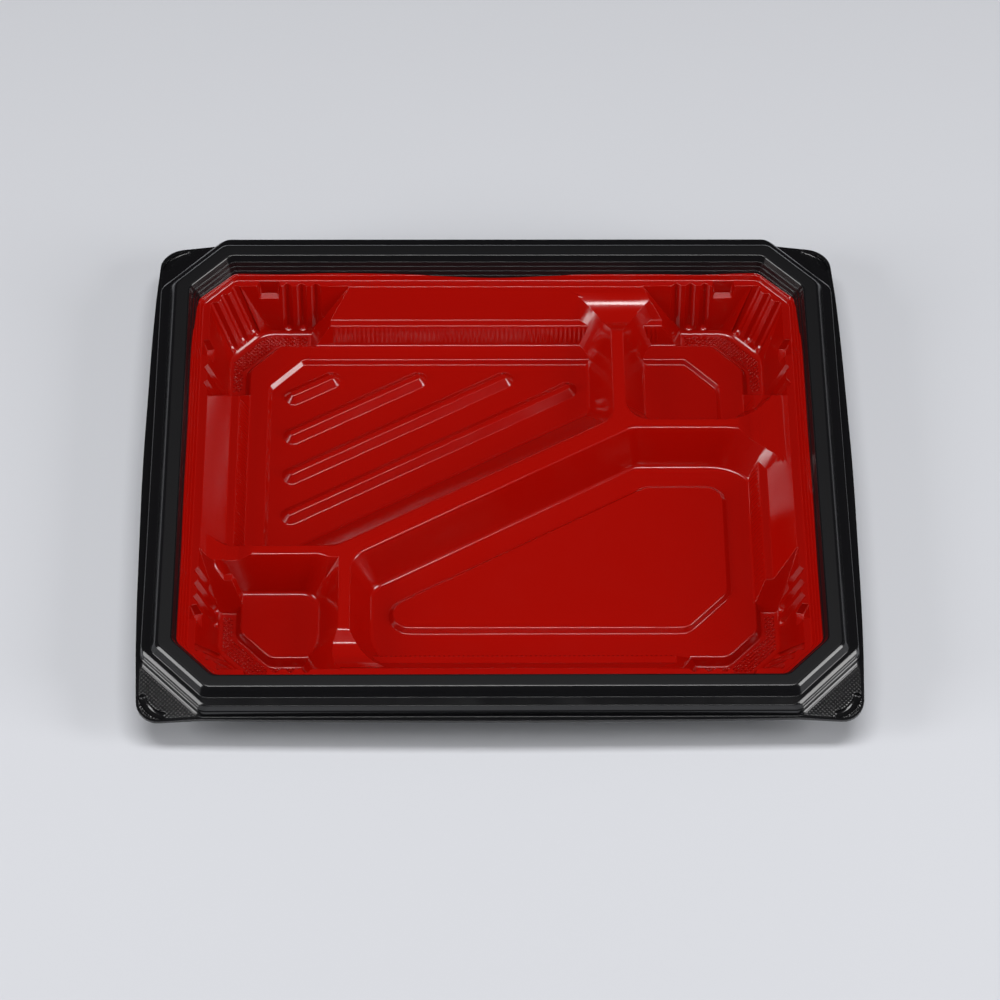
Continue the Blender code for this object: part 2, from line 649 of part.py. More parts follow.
def corner_bays(grow):
    """The four deep corner bays, from the ledge down to the feet."""
    drop = LEDGE_Z - FOOT_Z
    wall_draft = BAY_WALL_RUN / drop
    corner_draft = BAY_CORNER_RUN / drop
    cut_growth = corner_draft * math.sqrt(2.0) - wall_draft * 2.0
    rings = []
    for height in (LEDGE_Z + CLEAR, FOOT_Z - grow):
        depth = LEDGE_Z - height
        spread = grow * math.hypot(1.0, wall_draft)
        inset = LEDGE_INSET - BAY_EDGE_STEP + depth * wall_draft - spread
        cut = RIM_CORNER_CUT - (LEDGE_INSET - BAY_EDGE_STEP) * (2.0 - math.sqrt(2.0)) + depth * cut_growth
        cut += spread * 2.0 - grow * math.hypot(1.0, corner_draft) * math.sqrt(2.0)
        half_length = RIM_LENGTH / 2.0 - inset
        half_width = RIM_WIDTH / 2.0 - inset
        rings.append((eight_sides(half_length, half_width, cut, BAY_RADIUS), height))
    bays = loft("corner_bays", rings)
    for feature in bay_features(grow, wall_draft, corner_draft):
        bays = combine(bays, feature, "UNION")
    bays = combine(bays, cheek_block(BAY_CHEEK_X, False, grow), "DIFFERENCE")
    bays = combine(bays, cheek_block(BAY_CHEEK_Y, True, grow), "DIFFERENCE")
    rings = []
    for height in (LEDGE_Z + CLEAR * 2.0, FOOT_Z - BASIN_WALL - CLEAR):
        shift = (FLOOR_Z - height) * FOOT_STEP_DRAFT - grow * math.hypot(1.0, FOOT_STEP_DRAFT)
        cut = FOOT_STEP_CUT + shift * (2.0 - math.sqrt(2.0))
        rings.append((eight_sides(FOOT_STEP_X + shift, FOOT_STEP_Y + shift, cut, MM), height))
    return combine(bays, loft("foot_core", rings), "DIFFERENCE")


def cavity(grow):
    """The whole hollow of the tray, grown outward by a distance."""
    hollow = divider_top_space(grow)
    for sides, floor in pocket_plans():
        hollow = combine(hollow, pocket(sides, floor, grow), "UNION")
    hollow = combine(hollow, floor_block(grow), "DIFFERENCE")
    hollow = combine(hollow, raised_panel(grow), "DIFFERENCE")
    hollow = combine(hollow, ridges(grow), "DIFFERENCE")
    hollow = combine(hollow, bowl(grow), "INTERSECT")
    return combine(hollow, corner_bays(grow), "UNION")


def below_film_edge(clearance):
    """Everything lower than the film's upper edge, which bends down toward the rear wall."""
    side_z = -FILM_EDGE_DROP - clearance
    rear_z = -FILM_EDGE_REAR_DROP - clearance
    bend = FILM_EDGE_BEND_Y
    low = FOOT_Z - BASIN_WALL - CLEAR * 3.0
    section = [
        (-FAR, low), (-FAR, side_z), (bend, side_z), (bend + FILM_EDGE_BEND_RUN, rear_z),
        (FAR, rear_z), (FAR, low),
    ]
    mesh_maker = bmesh.new()
    face = mesh_maker.faces.new([mesh_maker.verts.new((-FAR, y, z)) for y, z in section])
    swept = bmesh.ops.extrude_face_region(mesh_maker, geom=[face])
    moved = [item for item in swept["geom"] if isinstance(item, bmesh.types.BMVert)]
    bmesh.ops.translate(mesh_maker, verts=moved, vec=(2.0 * FAR, 0.0, 0.0))
    bmesh.ops.recalc_face_normals(mesh_maker, faces=mesh_maker.faces)
    return finish_mesh("below_film_edge", mesh_maker)


def skirt_profile():
    """Outside of the rim from the crest's flat top down to the flange."""
    points = [(0.0, 0.0), (-CREST_WIDTH, 0.0)]
    inset, height = points[-1]
    for turn in (math.radians(35.0), math.radians(62.0), math.radians(90.0)):
        points.append((inset - CREST_ROUND_WIDTH * math.sin(turn), height - CREST_ROUND_DROP * (1.0 - math.cos(turn))))
    inset, height = points[-1]
    points.append((inset - FIRST_RISER_RUN, height - FIRST_RISER_DROP))
    inset, height = points[-1]
    points.append((inset - TREAD_WIDTH, height - TREAD_FALL))
    inset, height = points[-1]
    points.append((inset - SECOND_RISER_RUN, height - SECOND_RISER_DROP))
    return points


def bowed_side(middle, reach, half_span, bow, radius):
    """One side of the flange as a row of tangents to a shallow arc, with the corner after it."""
    lean = 2.0 * math.atan(bow / half_span)
    arc_radius = half_span / math.sin(lean)
    arc_centre = reach - arc_radius * math.cos(lean)
    sides = []
    for index in range(BOW_SIDES):
        turn = lean * (2.0 * index / (BOW_SIDES - 1) - 1.0)
        corner = radius if index == BOW_SIDES - 1 else arc_radius / 2.0
        sides.append((middle + turn, arc_centre * math.cos(turn) + arc_radius, corner))
    return sides


def flange_block(name, margin, top):
    """Everything under the flange's outline, up to a level that falls outward at the four tabs."""
    half_length = FLANGE_TAB_LENGTH / 2.0
    half_width = FLANGE_TAB_WIDTH / 2.0
    sides = []
    for middle in (EAST, NORTH, WEST, SOUTH):
        end = middle in (EAST, WEST)
        reach, span, bow = (half_length, half_width, FLANGE_END_BOW) if end else (
            half_width, half_length, FLANGE_SIDE_BOW)
        sides += bowed_side(middle, reach, span - FLANGE_RADIUS, bow, FLANGE_RADIUS)
    drawn_in = [(angle, reach - margin, radius - margin) for angle, reach, radius in sides]
    block = loft(name, [(outline(drawn_in), top), (outline(drawn_in), FOOT_Z)])
    foot = -skirt_profile()[-1][0]
    cut = RIM_CORNER_CUT + foot * (2.0 - math.sqrt(2.0))
    root = (RIM_LENGTH / 2.0 + RIM_WIDTH / 2.0 + foot * 2.0 - cut) / 2.0
    mesh_maker = bmesh.new()
    mesh_maker.from_mesh(block.data)
    for x_sign in (-1.0, 1.0):
        for y_sign in (-1.0, 1.0):
            slope = TAB_FALL / math.sqrt(2.0)
            everything = mesh_maker.verts[:] + mesh_maker.edges[:] + mesh_maker.faces[:]
            bmesh.ops.bisect_plane(mesh_maker, geom=everything, dist=MERGE_DISTANCE / 10.0,
                                   plane_co=(x_sign * root, y_sign * root, top),
                                   plane_no=(x_sign * slope, y_sign * slope, 1.0), clear_outer=True)
            open_edges = [edge for edge in mesh_maker.edges if edge.is_boundary]
            bmesh.ops.contextual_create(mesh_maker, geom=open_edges)
    bmesh.ops.recalc_face_normals(mesh_maker, faces=mesh_maker.faces)
    mesh_maker.to_mesh(block.data)
    mesh_maker.free()
    return block


def skirt():
    """Crest, stepped skirt and flange as one formed sheet, closed across the middle."""
    outside = skirt_profile()
    inside = grown_profile([(-inset, height) for inset, height in outside], SHEET)
    inside = [(-inset, height) for inset, height in inside]
    flange_z = outside[-1][1]
    lip_z = flange_z - SHEET - FLANGE_LIP
    outer = octagon_loft("skirt", outside[1:] + [(outside[-1][0], flange_z - SHEET / 2.0)])
    outer = combine(outer, flange_block("flange", 0.0, flange_z), "UNION")
    outer = combine(outer, flange_block("below_lip", -CLEAR, lip_z), "DIFFERENCE")
    outer = combine(outer, octagon_loft("skirt_inside", inside[1:] + [(inside[-1][0], FOOT_Z)]), "DIFFERENCE")
    return combine(outer, flange_block("flange_inside", SHEET, flange_z - SHEET), "DIFFERENCE")


def tidy(made):
    """Merge stray points and let flat neighbours share one face."""
    mesh_maker = bmesh.new()
    mesh_maker.from_mesh(made.data)
    bmesh.ops.remove_doubles(mesh_maker, verts=mesh_maker.verts, dist=MERGE_DISTANCE)
    bmesh.ops.dissolve_limit(mesh_maker, angle_limit=FLAT_ANGLE,
                             verts=mesh_maker.verts, edges=mesh_maker.edges)
    bmesh.ops.triangulate(mesh_maker, faces=mesh_maker.faces)
    mesh_maker.to_mesh(made.data)
    mesh_maker.free()


def base_sheet():
    """The black sheet: skirt and basin, hollow where the film lies and up to the rim."""
    basin = cavity(BASIN_WALL)
    square = [(EAST, FAR, MM), (NORTH, FAR, MM), (WEST, FAR, MM), (SOUTH, FAR, MM)]
    below_crest = loft("below_crest", [
        (outline(square), -SHEET / 2.0),
        (outline(square), FOOT_Z - BASIN_WALL - CLEAR),
    ])
    basin = combine(basin, below_crest, "INTERSECT")
    sheet = combine(skirt(), basin, "UNION")
    sheet = combine(sheet, cavity(0.0), "DIFFERENCE")
    film_bed = combine(cavity(FILM + LAYER_GAP), below_film_edge(0.0), "INTERSECT")
    return combine(sheet, film_bed, "DIFFERENCE")


def lining_film():
    """The red film on the inside of the sheet, ending at its edge line on the ribbed wall."""
    film = combine(cavity(FILM), below_film_edge(LAYER_GAP), "INTERSECT")
    return combine(film, cavity(0.0), "DIFFERENCE")


def place(made, name, parent, finish):
    """Name a finished layer, give it its material and stand it on the feet."""
    tidy(made)
    made.name = name
    made.data.name = name
    made.data.materials.clear()
    made.data.materials.append(finish)
    made.parent = parent


def build():
    """Make the tray's two layers under one origin."""
    clear_scene()
    black = material("black_polystyrene", (0.012, 0.012, 0.013), 0.38)
    red = material("red_film", (0.33, 0.008, 0.002), 0.42)
    origin = bpy.data.objects.new("tray", None)
    origin.location.z = TRAY_HEIGHT
    bpy.context.scene.collection.objects.link(origin)
    place(base_sheet(), "base_sheet", origin, black)
    place(lining_film(), "lining_film", origin, red)


build()
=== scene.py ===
# %% [markdown]
# This lesson dresses a disposable bento tray: one sheet of black plastic, drawn by heat and vacuum
# over a mould, with a thin red film already bonded to its inside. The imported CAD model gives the
# frame: its two layers, where they are and how big they may be. Everything is in metres, with the
# tray standing on its four corner feet, its long side along X.

# %% The frame
import math

import bmesh
import bpy
from mathutils import Matrix, Vector


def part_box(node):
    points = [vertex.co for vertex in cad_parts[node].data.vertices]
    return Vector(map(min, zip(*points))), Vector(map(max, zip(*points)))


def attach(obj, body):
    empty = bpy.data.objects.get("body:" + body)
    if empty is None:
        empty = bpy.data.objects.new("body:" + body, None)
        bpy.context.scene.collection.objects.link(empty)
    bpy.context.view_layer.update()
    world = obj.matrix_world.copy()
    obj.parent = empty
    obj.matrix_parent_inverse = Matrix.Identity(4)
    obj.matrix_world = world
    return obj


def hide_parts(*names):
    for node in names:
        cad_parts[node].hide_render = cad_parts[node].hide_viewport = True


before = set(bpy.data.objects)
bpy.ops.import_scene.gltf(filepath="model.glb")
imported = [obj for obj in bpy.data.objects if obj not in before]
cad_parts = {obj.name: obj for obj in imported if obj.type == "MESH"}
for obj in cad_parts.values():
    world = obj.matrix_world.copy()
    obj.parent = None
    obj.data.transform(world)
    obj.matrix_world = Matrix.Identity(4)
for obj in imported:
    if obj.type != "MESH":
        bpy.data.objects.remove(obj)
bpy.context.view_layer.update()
MM = 0.001
TRAY_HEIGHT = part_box("base_sheet")[1][2]
print("frame nodes:", sorted(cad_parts), "height in mm:", round(TRAY_HEIGHT / MM, 2))

# %% [markdown]
# A formed tray is easiest to think of as the food's side only. The hollow is made as a solid, and
# the plastic is what lies round it. All heights are measured down from the flat top of the rim, and
# the finished pieces are lifted by the tray's height at the very end.

# %% Sizes of the hollow
SHEET = 0.5 * MM
FILM = 0.25 * MM
LAYER_GAP = 0.3 * MM
BASIN_WALL = FILM + LAYER_GAP + SHEET
HALF_LENGTH = 107.5 * MM
HALF_WIDTH = 86.2 * MM
CORNER_CUT = 13.7 * MM
CORNER_RADIUS = 4.0 * MM
LEDGE_Z = -8.4 * MM
LEDGE_INSET = 7.45 * MM
MID_Z = -17.7 * MM
FLOOR_Z = -24.5 * MM
PANEL_Z = -26.0 * MM
FOOT_Z = -27.5 * MM
DIVIDER_Z = -11.0 * MM
DRAFT = 7.0 / 13.5
CLEAR = 2.0 * MM
FAR = 160.0 * MM
EAST, NORTH, WEST, SOUTH = 0.0, math.pi / 2.0, math.pi, 3.0 * math.pi / 2.0
EIGHTH = math.pi / 4.0
print("depth of the tray in mm:", round(-FOOT_Z / MM, 1))

# %% [markdown]
# Every wall of the tray is drawn first as a profile with sharp corners: pairs of how far out and how
# high. Real corners are round, because sheet can't be drawn over a sharp edge, and the soft lines
# of light in the tray all come from those rounds. This helper moves a profile by a distance, as
# a second layer would lie on it, and then puts an arc in each corner.

# %% Profiles with rounded corners
FINE_TURN = math.radians(11.0)
ROOM_SHARE = 0.48
LEAST_REACH = 0.02 * MM


def unit(start, end):
    """Direction from one profile point to the next."""
    length = math.dist(start, end)
    return ((end[0] - start[0]) / length, (end[1] - start[1]) / length)


def moved_profile(points, grow):
    """The profile moved toward its material side, keeping its slopes."""
    headings = [unit(a, b) for a, b in zip(points, points[1:])]
    moved = []
    for index, (out, height) in enumerate(points):
        (ax, az), (bx, bz) = headings[max(0, index - 1)], headings[min(index, len(headings) - 1)]
        spread = 1.0 + ax * bx + az * bz
        moved.append((out - grow * (az + bz) / spread, height + grow * (ax + bx) / spread))
    return moved


def eased(points, radii, grow=0.0, turn_step=FINE_TURN):
    """Profile points with an arc at each inner corner."""
    sharp = moved_profile(points, grow)
    smooth = [sharp[0]]
    for before, here, after, radius in zip(sharp, sharp[1:], sharp[2:], radii):
        (ax, az), (bx, bz) = unit(before, here), unit(here, after)
        cross = ax * bz - az * bx
        turn = math.atan2(cross, ax * bx + az * bz)
        radius = radius - grow if cross > 0.0 else radius + grow
        room = ROOM_SHARE * min(math.dist(before, here), math.dist(here, after))
        reach = min(radius * math.tan(abs(turn) / 2.0), room)
        if reach < LEAST_REACH:
            smooth.append(here)
            continue
        radius = reach / math.tan(abs(turn) / 2.0)
        hand = math.copysign(1.0, turn)
        start = (here[0] - ax * reach, here[1] - az * reach)
        centre = (start[0] - hand * az * radius, start[1] + hand * ax * radius)
        steps = max(2, math.ceil(abs(turn) / turn_step))
        for step in range(steps + 1):
            angle = turn * step / steps
            arm = (start[0] - centre[0], start[1] - centre[1])
            smooth.append((
                centre[0] + arm[0] * math.cos(angle) - arm[1] * math.sin(angle),
                centre[1] + arm[0] * math.sin(angle) + arm[1] * math.cos(angle),
            ))
    return smooth + [sharp[-1]]


print("points of an eased right angle:", len(eased([(0, 0), (1, 0), (1, -1)], [0.2])))

# %% [markdown]
# Seen from above, every level of the tray is an outline of straight sides. Where two neighbouring
# sides cross there is a corner point, and an arc rounds it.

# %% Outlines and rings
def crossings(sides):
    """Corner points where neighbouring straight sides cross. A side is (normal angle, reach)."""
    points = []
    for (angle, reach), (next_angle, next_reach) in zip(sides, sides[1:] + sides[:1]):
        turn = math.sin(next_angle - angle)
        points.append((
            (reach * math.sin(next_angle) - next_reach * math.sin(angle)) / turn,
            (next_reach * math.cos(angle) - reach * math.cos(next_angle)) / turn,
        ))
    return points


def ring(corners, radii, height, steps):
    """Points of one level, with an arc round each corner."""
    points = []
    for index, corner in enumerate(corners):
        before, here, after = (Vector(corners[(index + step) % len(corners)]) for step in (-1, 0, 1))
        turn = (here - before).angle(after - here)
        if radii[index] <= 0.0:
            points.append((*corner, height))
            continue
        reach = radii[index] * math.tan(turn / 2.0)
        start = here + (before - here).normalized() * reach
        heading = (here - before).normalized()
        centre = start + Vector((-heading.y, heading.x)) * radii[index]
        for step in range(steps + 1):
            arm = start - centre
            arm.rotate(Matrix.Rotation(turn * step / steps, 2))
            points.append((*(centre + arm), height))
    return points


square = crossings([(EAST, MM), (NORTH, MM), (WEST, MM), (SOUTH, MM)])
print("points of a rounded square:", len(ring(square, [0.2 * MM] * 4, 0.0, 3)))

# %% [markdown]
# A wall is a stack of such levels. The first level is filled with one face, and the extrude
# operator then pulls that face through the others. That is how a modeller would rough out a vacuum
# mould. Bridging ready-made rings would look shorter, but it has to guess which points belong
# together, and on long walls it guesses wrong. How fast a corner's radius follows the wall inward
# is a choice for each wall: sheet is drawn rounder the deeper it goes, so a bay's corners even open
# out toward its foot.

# %% Lofts and walls
LEAST_RADIUS = 0.4 * MM
OUTLINE_STEPS = 6


def loft(levels, steps):
    """A closed solid through levels of (corners, radii, height), in a new bmesh."""
    maker = bmesh.new()
    caps = [maker.faces.new([maker.verts.new(point) for point in ring(*levels[0], steps)])]
    for level in levels[1:]:
        pulled = bmesh.ops.extrude_face_region(maker, geom=[caps[-1]])["geom"]
        caps.append(next(item for item in pulled if isinstance(item, bmesh.types.BMFace)))
        for vert, point in zip(caps[-1].verts, ring(*level, steps)):
            vert.co = point
    bmesh.ops.delete(maker, geom=caps[1:-1], context="FACES_ONLY")
    bmesh.ops.recalc_face_normals(maker, faces=maker.faces)
    if maker.calc_volume(signed=True) < 0.0:
        bmesh.ops.reverse_faces(maker, faces=maker.faces)
    return maker


def walls(sides, profile, steps, hold=0.0, follow=1.0):
    """A solid whose sides follow a profile. A side is (angle, reach, corner radius, lean)."""
    levels = []
    for out, height in profile:
        shifts = [out + lean * (height - hold) for _, _, _, lean in sides]
        corners = crossings([(side[0], side[1] + shift) for side, shift in zip(sides, shifts)])
        radii = []
        for index, side in enumerate(sides):
            shift = min(shifts[index], shifts[(index + 1) % len(sides)])
            radii.append(max(side[2] + shift * follow, LEAST_RADIUS))
        levels.append((corners, radii, height))
    return loft(levels, steps)


def octagon(out, cut_growth=0.0):
    """Corner points and radii of the rim's outline, moved out by a distance."""
    half_length = HALF_LENGTH + out
    half_width = HALF_WIDTH + out
    cut = max(CORNER_CUT + out * (2.0 - math.sqrt(2.0)) + cut_growth, CORNER_RADIUS)
    corner = (half_length + half_width - cut) / math.sqrt(2.0)
    reaches = (half_length, corner, half_width, corner)
    return crossings([(index * EIGHTH, reaches[index % 4]) for index in range(8)]), [CORNER_RADIUS] * 8


def octagon_walls(profile, steps, setback=None):
    """A solid that follows a profile round the rim's outline, its cut corners set back by height."""
    levels = []
    for out, height in profile:
        growth = setback(height) * math.sqrt(2.0) if setback else 0.0
        levels.append((*octagon(out, growth), height))
    return loft(levels, steps)


test = octagon_walls([(0.0, 0.0), (-LEDGE_INSET, LEDGE_Z)], OUTLINE_STEPS)
print("faces in a two-level octagon:", len(test.faces))
test.free()

# %% [markdown]
# Solids are added, cut and intersected with the exact Boolean, as in any CAD program. Cutters that
# don't touch each other are first joined in one mesh, so that one Boolean does the work of many.

# %% Solids and Booleans
def solid(*makers):
    """One object from one or more bmeshes."""
    mesh = bpy.data.meshes.new("solid")
    whole = bmesh.new()
    for maker in makers:
        part = bpy.data.meshes.new("part")
        maker.to_mesh(part)
        maker.free()
        whole.from_mesh(part)
        bpy.data.meshes.remove(part)
    whole.to_mesh(mesh)
    whole.free()
    made = bpy.data.objects.new("solid", mesh)
    bpy.context.scene.collection.objects.link(made)
    return made


def combine(base, tool, operation, material_mode="INDEX"):
    """Apply one exact Boolean to the base and remove the tool."""
    modifier = base.modifiers.new("combine", "BOOLEAN")
    modifier.operation = operation
    modifier.solver = "EXACT"
    modifier.material_mode = material_mode
    modifier.object = tool
    bpy.context.view_layer.update()
    evaluated = base.evaluated_get(bpy.context.evaluated_depsgraph_get())
    result = bpy.data.meshes.new_from_object(evaluated)
    base.modifiers.clear()
    base.data = result
    bpy.data.objects.remove(tool, do_unlink=True)
    return base


def half_space(top, low):
    """A wide slab between two heights."""
    sides = [(EAST, FAR), (NORTH, FAR), (WEST, FAR), (SOUTH, FAR)]
    return solid(loft([(crossings(sides), [0.0] * 4, top), (crossings(sides), [0.0] * 4, low)], 1))


slab = half_space(0.0, FLOOR_Z)
print("faces of a slab:", len(slab.data.polygons))
bpy.data.objects.remove(slab, do_unlink=True)

# %% [markdown]
# The outer wall steps down from the rim in three flights, with four fine ribs on the first. The
# ribs stiffen the rim and grip the lid. The profile ends in a flat strip of floor, so that the
# round at the wall's foot runs smoothly out into it.

# %% The bowl
RIB_TOPS = (-2.1 * MM, -3.6 * MM, -5.1 * MM, -6.6 * MM)
RIB_LEDGE = 0.22 * MM
RIB_FALL = 0.03 * MM
RIB_ROUND = 0.08 * MM
RIBBED_RUN = 4.6 * MM
RIM_ROUND = 0.8 * MM
STEP_ROUNDS = [0.55 * MM, 0.45 * MM, 0.8 * MM, 0.5 * MM, 0.8 * MM, 0.0]
MID_OUT, MID_IN = -15.1 * MM, -17.8 * MM
FLOOR_OUT, FLOOR_IN = -21.1 * MM, -25.0 * MM
SPARE = 3.0 * MM
BOWL_BOTTOM = (-25.6 * MM, FOOT_Z - 4.0 * MM)


def bowl(grow, turn_step, steps):
    """The hollow inside the outer wall."""
    points = [(SPARE, 0.0), (0.0, 0.0)]
    radii = [RIM_ROUND]
    for height in RIB_TOPS:
        out = RIBBED_RUN * height / -LEDGE_Z
        points += [(out, height), (out - RIB_LEDGE, height - RIB_FALL)]
        radii += [RIB_ROUND, RIB_ROUND]
    points += [(-RIBBED_RUN, LEDGE_Z), (-LEDGE_INSET, LEDGE_Z), (MID_OUT, MID_Z), (MID_IN, MID_Z),
               (FLOOR_OUT, FLOOR_Z), (FLOOR_IN, FLOOR_Z), BOWL_BOTTOM]
    profile = eased(points, radii + STEP_ROUNDS, grow, turn_step)[1:]
    return solid(octagon_walls([(profile[0][0], CLEAR)] + profile, steps))


print("ribs on the upper wall:", len(RIB_TOPS), "on a run in mm of", round(RIBBED_RUN / MM, 1))

# %% [markdown]
# Above the dividers the hollow is one low space. Near the outer wall each divider first dips by
# about two millimetres, and then rises in a wide arc that runs almost smoothly into the wall.

# %% The space above the dividers
DIP_Z = DIVIDER_Z - 2.2 * MM
RAMP_TOP = -24.6 * MM
RAMP_FOOT = -19.9 * MM
SWEEP_FOOT = -17.35 * MM
SWEEP_RADIUS = 13.0 * MM
SWEEP_STEPS = (48, 42, 36, 30, 24, 18, 12, 6)
RAMP_ROUND = 3.5 * MM
SPACE_MARGIN = 10.0 * MM


def top_space(grow, turn_step, steps):
    """The space over the dividers, dipping and sweeping up at its edge."""
    sweep = [(SWEEP_FOOT + SWEEP_RADIUS * math.sin(angle), DIP_Z + SWEEP_RADIUS * (1.0 - math.cos(angle)))
             for angle in (math.radians(step) for step in SWEEP_STEPS)]
    points = sweep + [(RAMP_FOOT, DIP_Z), (RAMP_TOP, DIVIDER_Z), (RAMP_TOP - CLEAR, DIVIDER_Z)]
    radii = [0.0] * (len(sweep) - 1) + [RAMP_ROUND, RAMP_ROUND]
    profile = eased(points, radii, grow, turn_step)
    high = (profile[0][0] + SPACE_MARGIN, profile[0][1])
    profile = [(high[0], SPARE), high] + profile
    return solid(octagon_walls(profile, steps))


print("the dividers dip by, in mm:", round((DIVIDER_Z - DIP_Z) / MM, 1))

# %% [markdown]
# Four compartments lie between the dividers. Each is a pocket with leaning walls, a round where
# the wall turns into the divider's top and a wider one at its foot. The two dividers that
# meet the long walls spread out there, which is a large corner radius on their pockets.

# %% The four compartments
DIAGONAL_ANGLE = math.radians(29.0)
DIAGONAL_CENTRE_Y = -2.2 * MM
DIAGONAL_HALF = 3.2 * MM
DIAGONAL_FRONT = NORTH + DIAGONAL_ANGLE
DIAGONAL_REAR = SOUTH + DIAGONAL_ANGLE
FRONT_REACH = math.sin(DIAGONAL_FRONT) * DIAGONAL_CENTRE_Y - DIAGONAL_HALF
REAR_REACH = math.sin(DIAGONAL_REAR) * DIAGONAL_CENTRE_Y - DIAGONAL_HALF
REAR_LEAN = 1.0 - DRAFT
OUTER_X = HALF_LENGTH - 9.0 * MM
OUTER_Y = HALF_WIDTH - 9.0 * MM
WALL_BEND = 6.0 * MM
FOOT_BEND = 8.0 * MM
BEND = 8.5 * MM
SPREAD_BEND = 17.0 * MM
OPEN_BEND = 20.0 * MM
TOP_ROUND = 0.9 * MM
FOOT_ROUND = 1.6 * MM
POCKET_FOLLOW = 0.25

LARGE = [(EAST, 40.2 * MM, SPREAD_BEND, 0.0), (NORTH, OUTER_Y, WALL_BEND, 0.0),
         (WEST, OUTER_X, BEND, 0.0), (SOUTH, 28.7 * MM, BEND, 0.0),
         (DIAGONAL_REAR, REAR_REACH, BEND, REAR_LEAN)]
FRONT_LEFT = [(EAST, -53.5 * MM, FOOT_BEND, 0.0), (NORTH, -32.2 * MM, WALL_BEND, 0.0),
              (WEST, OUTER_X, WALL_BEND, 0.0), (SOUTH, OUTER_Y, SPREAD_BEND, 0.0)]
REAR_RIGHT = [(EAST, OUTER_X, WALL_BEND, 0.0), (NORTH, OUTER_Y, SPREAD_BEND, 0.0),
              (WEST, -44.2 * MM, FOOT_BEND, 0.0), (SOUTH, -23.4 * MM, OPEN_BEND, 0.0)]
FRONT_RIGHT = [(EAST, OUTER_X, OPEN_BEND, 0.0), (NORTH, 19.6 * MM, BEND, 0.0),
               (DIAGONAL_FRONT, FRONT_REACH, BEND, 0.0), (WEST, 49.9 * MM, SPREAD_BEND, 0.0),
               (SOUTH, OUTER_Y, WALL_BEND, 0.0)]
POCKET_MARGIN = 6.0 * MM


def pocket(sides, floor, grow, turn_step, steps):
    """One compartment's hollow, from above the dividers down to its floor."""
    depth = DIVIDER_Z - floor
    foot = -depth * DRAFT
    points = [(SPARE, DIVIDER_Z), (0.0, DIVIDER_Z), (foot, floor), (foot - POCKET_MARGIN, floor)]
    profile = eased(points, [TOP_ROUND, FOOT_ROUND], grow, turn_step)[1:-1]
    profile = [(profile[0][0], DIVIDER_Z + POCKET_MARGIN)] + profile
    return walls(sides, profile, steps, DIVIDER_Z, POCKET_FOLLOW)


print("sides of the compartments:", [len(sides) for sides in (LARGE, FRONT_LEFT, REAR_RIGHT, FRONT_RIGHT)])

# %% [markdown]
# The floor of the two rear compartments has a sunk panel, with a small step round it. Under the
# dividers the panel's edge follows their middle lines, where nobody sees it.

# %% The sunk panels
PANEL_RUN = 1.2 * MM
PANEL_ROUND = 0.5 * MM
PANEL_BEND = 2.5 * MM
PANEL_REAR = 58.7 * MM
LEFT_END = 80.0 * MM
RIGHT_END = 78.3 * MM
LEFT_CUT_REACH = (LEFT_END + PANEL_REAR - 11.7 * MM) / math.sqrt(2.0)
RIGHT_CUT_REACH = (RIGHT_END + PANEL_REAR - 11.5 * MM) / math.sqrt(2.0)
LARGE_PANEL = [(EAST, 38.0 * MM, PANEL_BEND, 0.0), (NORTH, PANEL_REAR, PANEL_BEND, 0.0),
               (3.0 * EIGHTH, LEFT_CUT_REACH, PANEL_BEND, 0.0), (WEST, LEFT_END, PANEL_BEND, 0.0),
               (SOUTH, 26.5 * MM, PANEL_BEND, 0.0),
               (DIAGONAL_REAR, REAR_REACH - 3.0 * MM, PANEL_BEND, 0.0)]
SMALL_PANEL = [(EAST, RIGHT_END, PANEL_BEND, 0.0), (EIGHTH, RIGHT_CUT_REACH, PANEL_BEND, 0.0),
               (NORTH, PANEL_REAR, PANEL_BEND, 0.0), (WEST, -46.5 * MM, PANEL_BEND, 0.0),
               (SOUTH, -26.0 * MM, PANEL_BEND, 0.0)]
GROUND_DEPTH = 5.0 * MM


def floor_block(grow, turn_step, steps):
    """The solid ground under the rear compartments, with both panels sunk into it."""
    block = half_space(FLOOR_Z - grow, FOOT_Z - GROUND_DEPTH)
    points = [(SPARE, FLOOR_Z), (0.0, FLOOR_Z), (-PANEL_RUN, PANEL_Z), (-PANEL_RUN - SPARE, PANEL_Z)]
    profile = eased(points, [PANEL_ROUND, PANEL_ROUND], grow, turn_step)[1:-1]
    profile = [(profile[0][0], CLEAR + FLOOR_Z)] + profile
    panels = solid(walls(LARGE_PANEL, profile, steps), walls(SMALL_PANEL, profile, steps))
    return combine(block, panels, "DIFFERENCE")


print("the panels are sunk by, in mm:", round((FLOOR_Z - PANEL_Z) / MM, 1))

# %% [markdown]
# Some shapes stand on the floors, and are taken away from the hollow as blocks. The first is a low
# plateau with round corners at the front right. All of them share one kind of side profile, with a
# sharp top and foot that get their rounds from the profile helper.

# %% The plateau
PLATEAU_RISE = 1.5 * MM
PLATEAU_RUN = 1.5 * MM
PLATEAU_ROUND = 0.6 * MM
PLATEAU_BEND = 7.0 * MM
PLATEAU_X = 78.5 * MM
PLATEAU_FRONT = 55.5 * MM
PLATEAU_CUT = (PLATEAU_X + PLATEAU_FRONT - 14.8 * MM) / math.sqrt(2.0)
PLATEAU = [(EAST, PLATEAU_X, PLATEAU_BEND, 0.0), (NORTH, 4.3 * MM, PLATEAU_BEND, 0.0),
           (DIAGONAL_FRONT, FRONT_REACH - 15.7 * MM, PLATEAU_BEND, 0.0),
           (SOUTH, PLATEAU_FRONT, PLATEAU_BEND, 0.0), (7.0 * EIGHTH, PLATEAU_CUT, PLATEAU_BEND, 0.0)]
BLOCK_DEPTH = 6.0 * MM


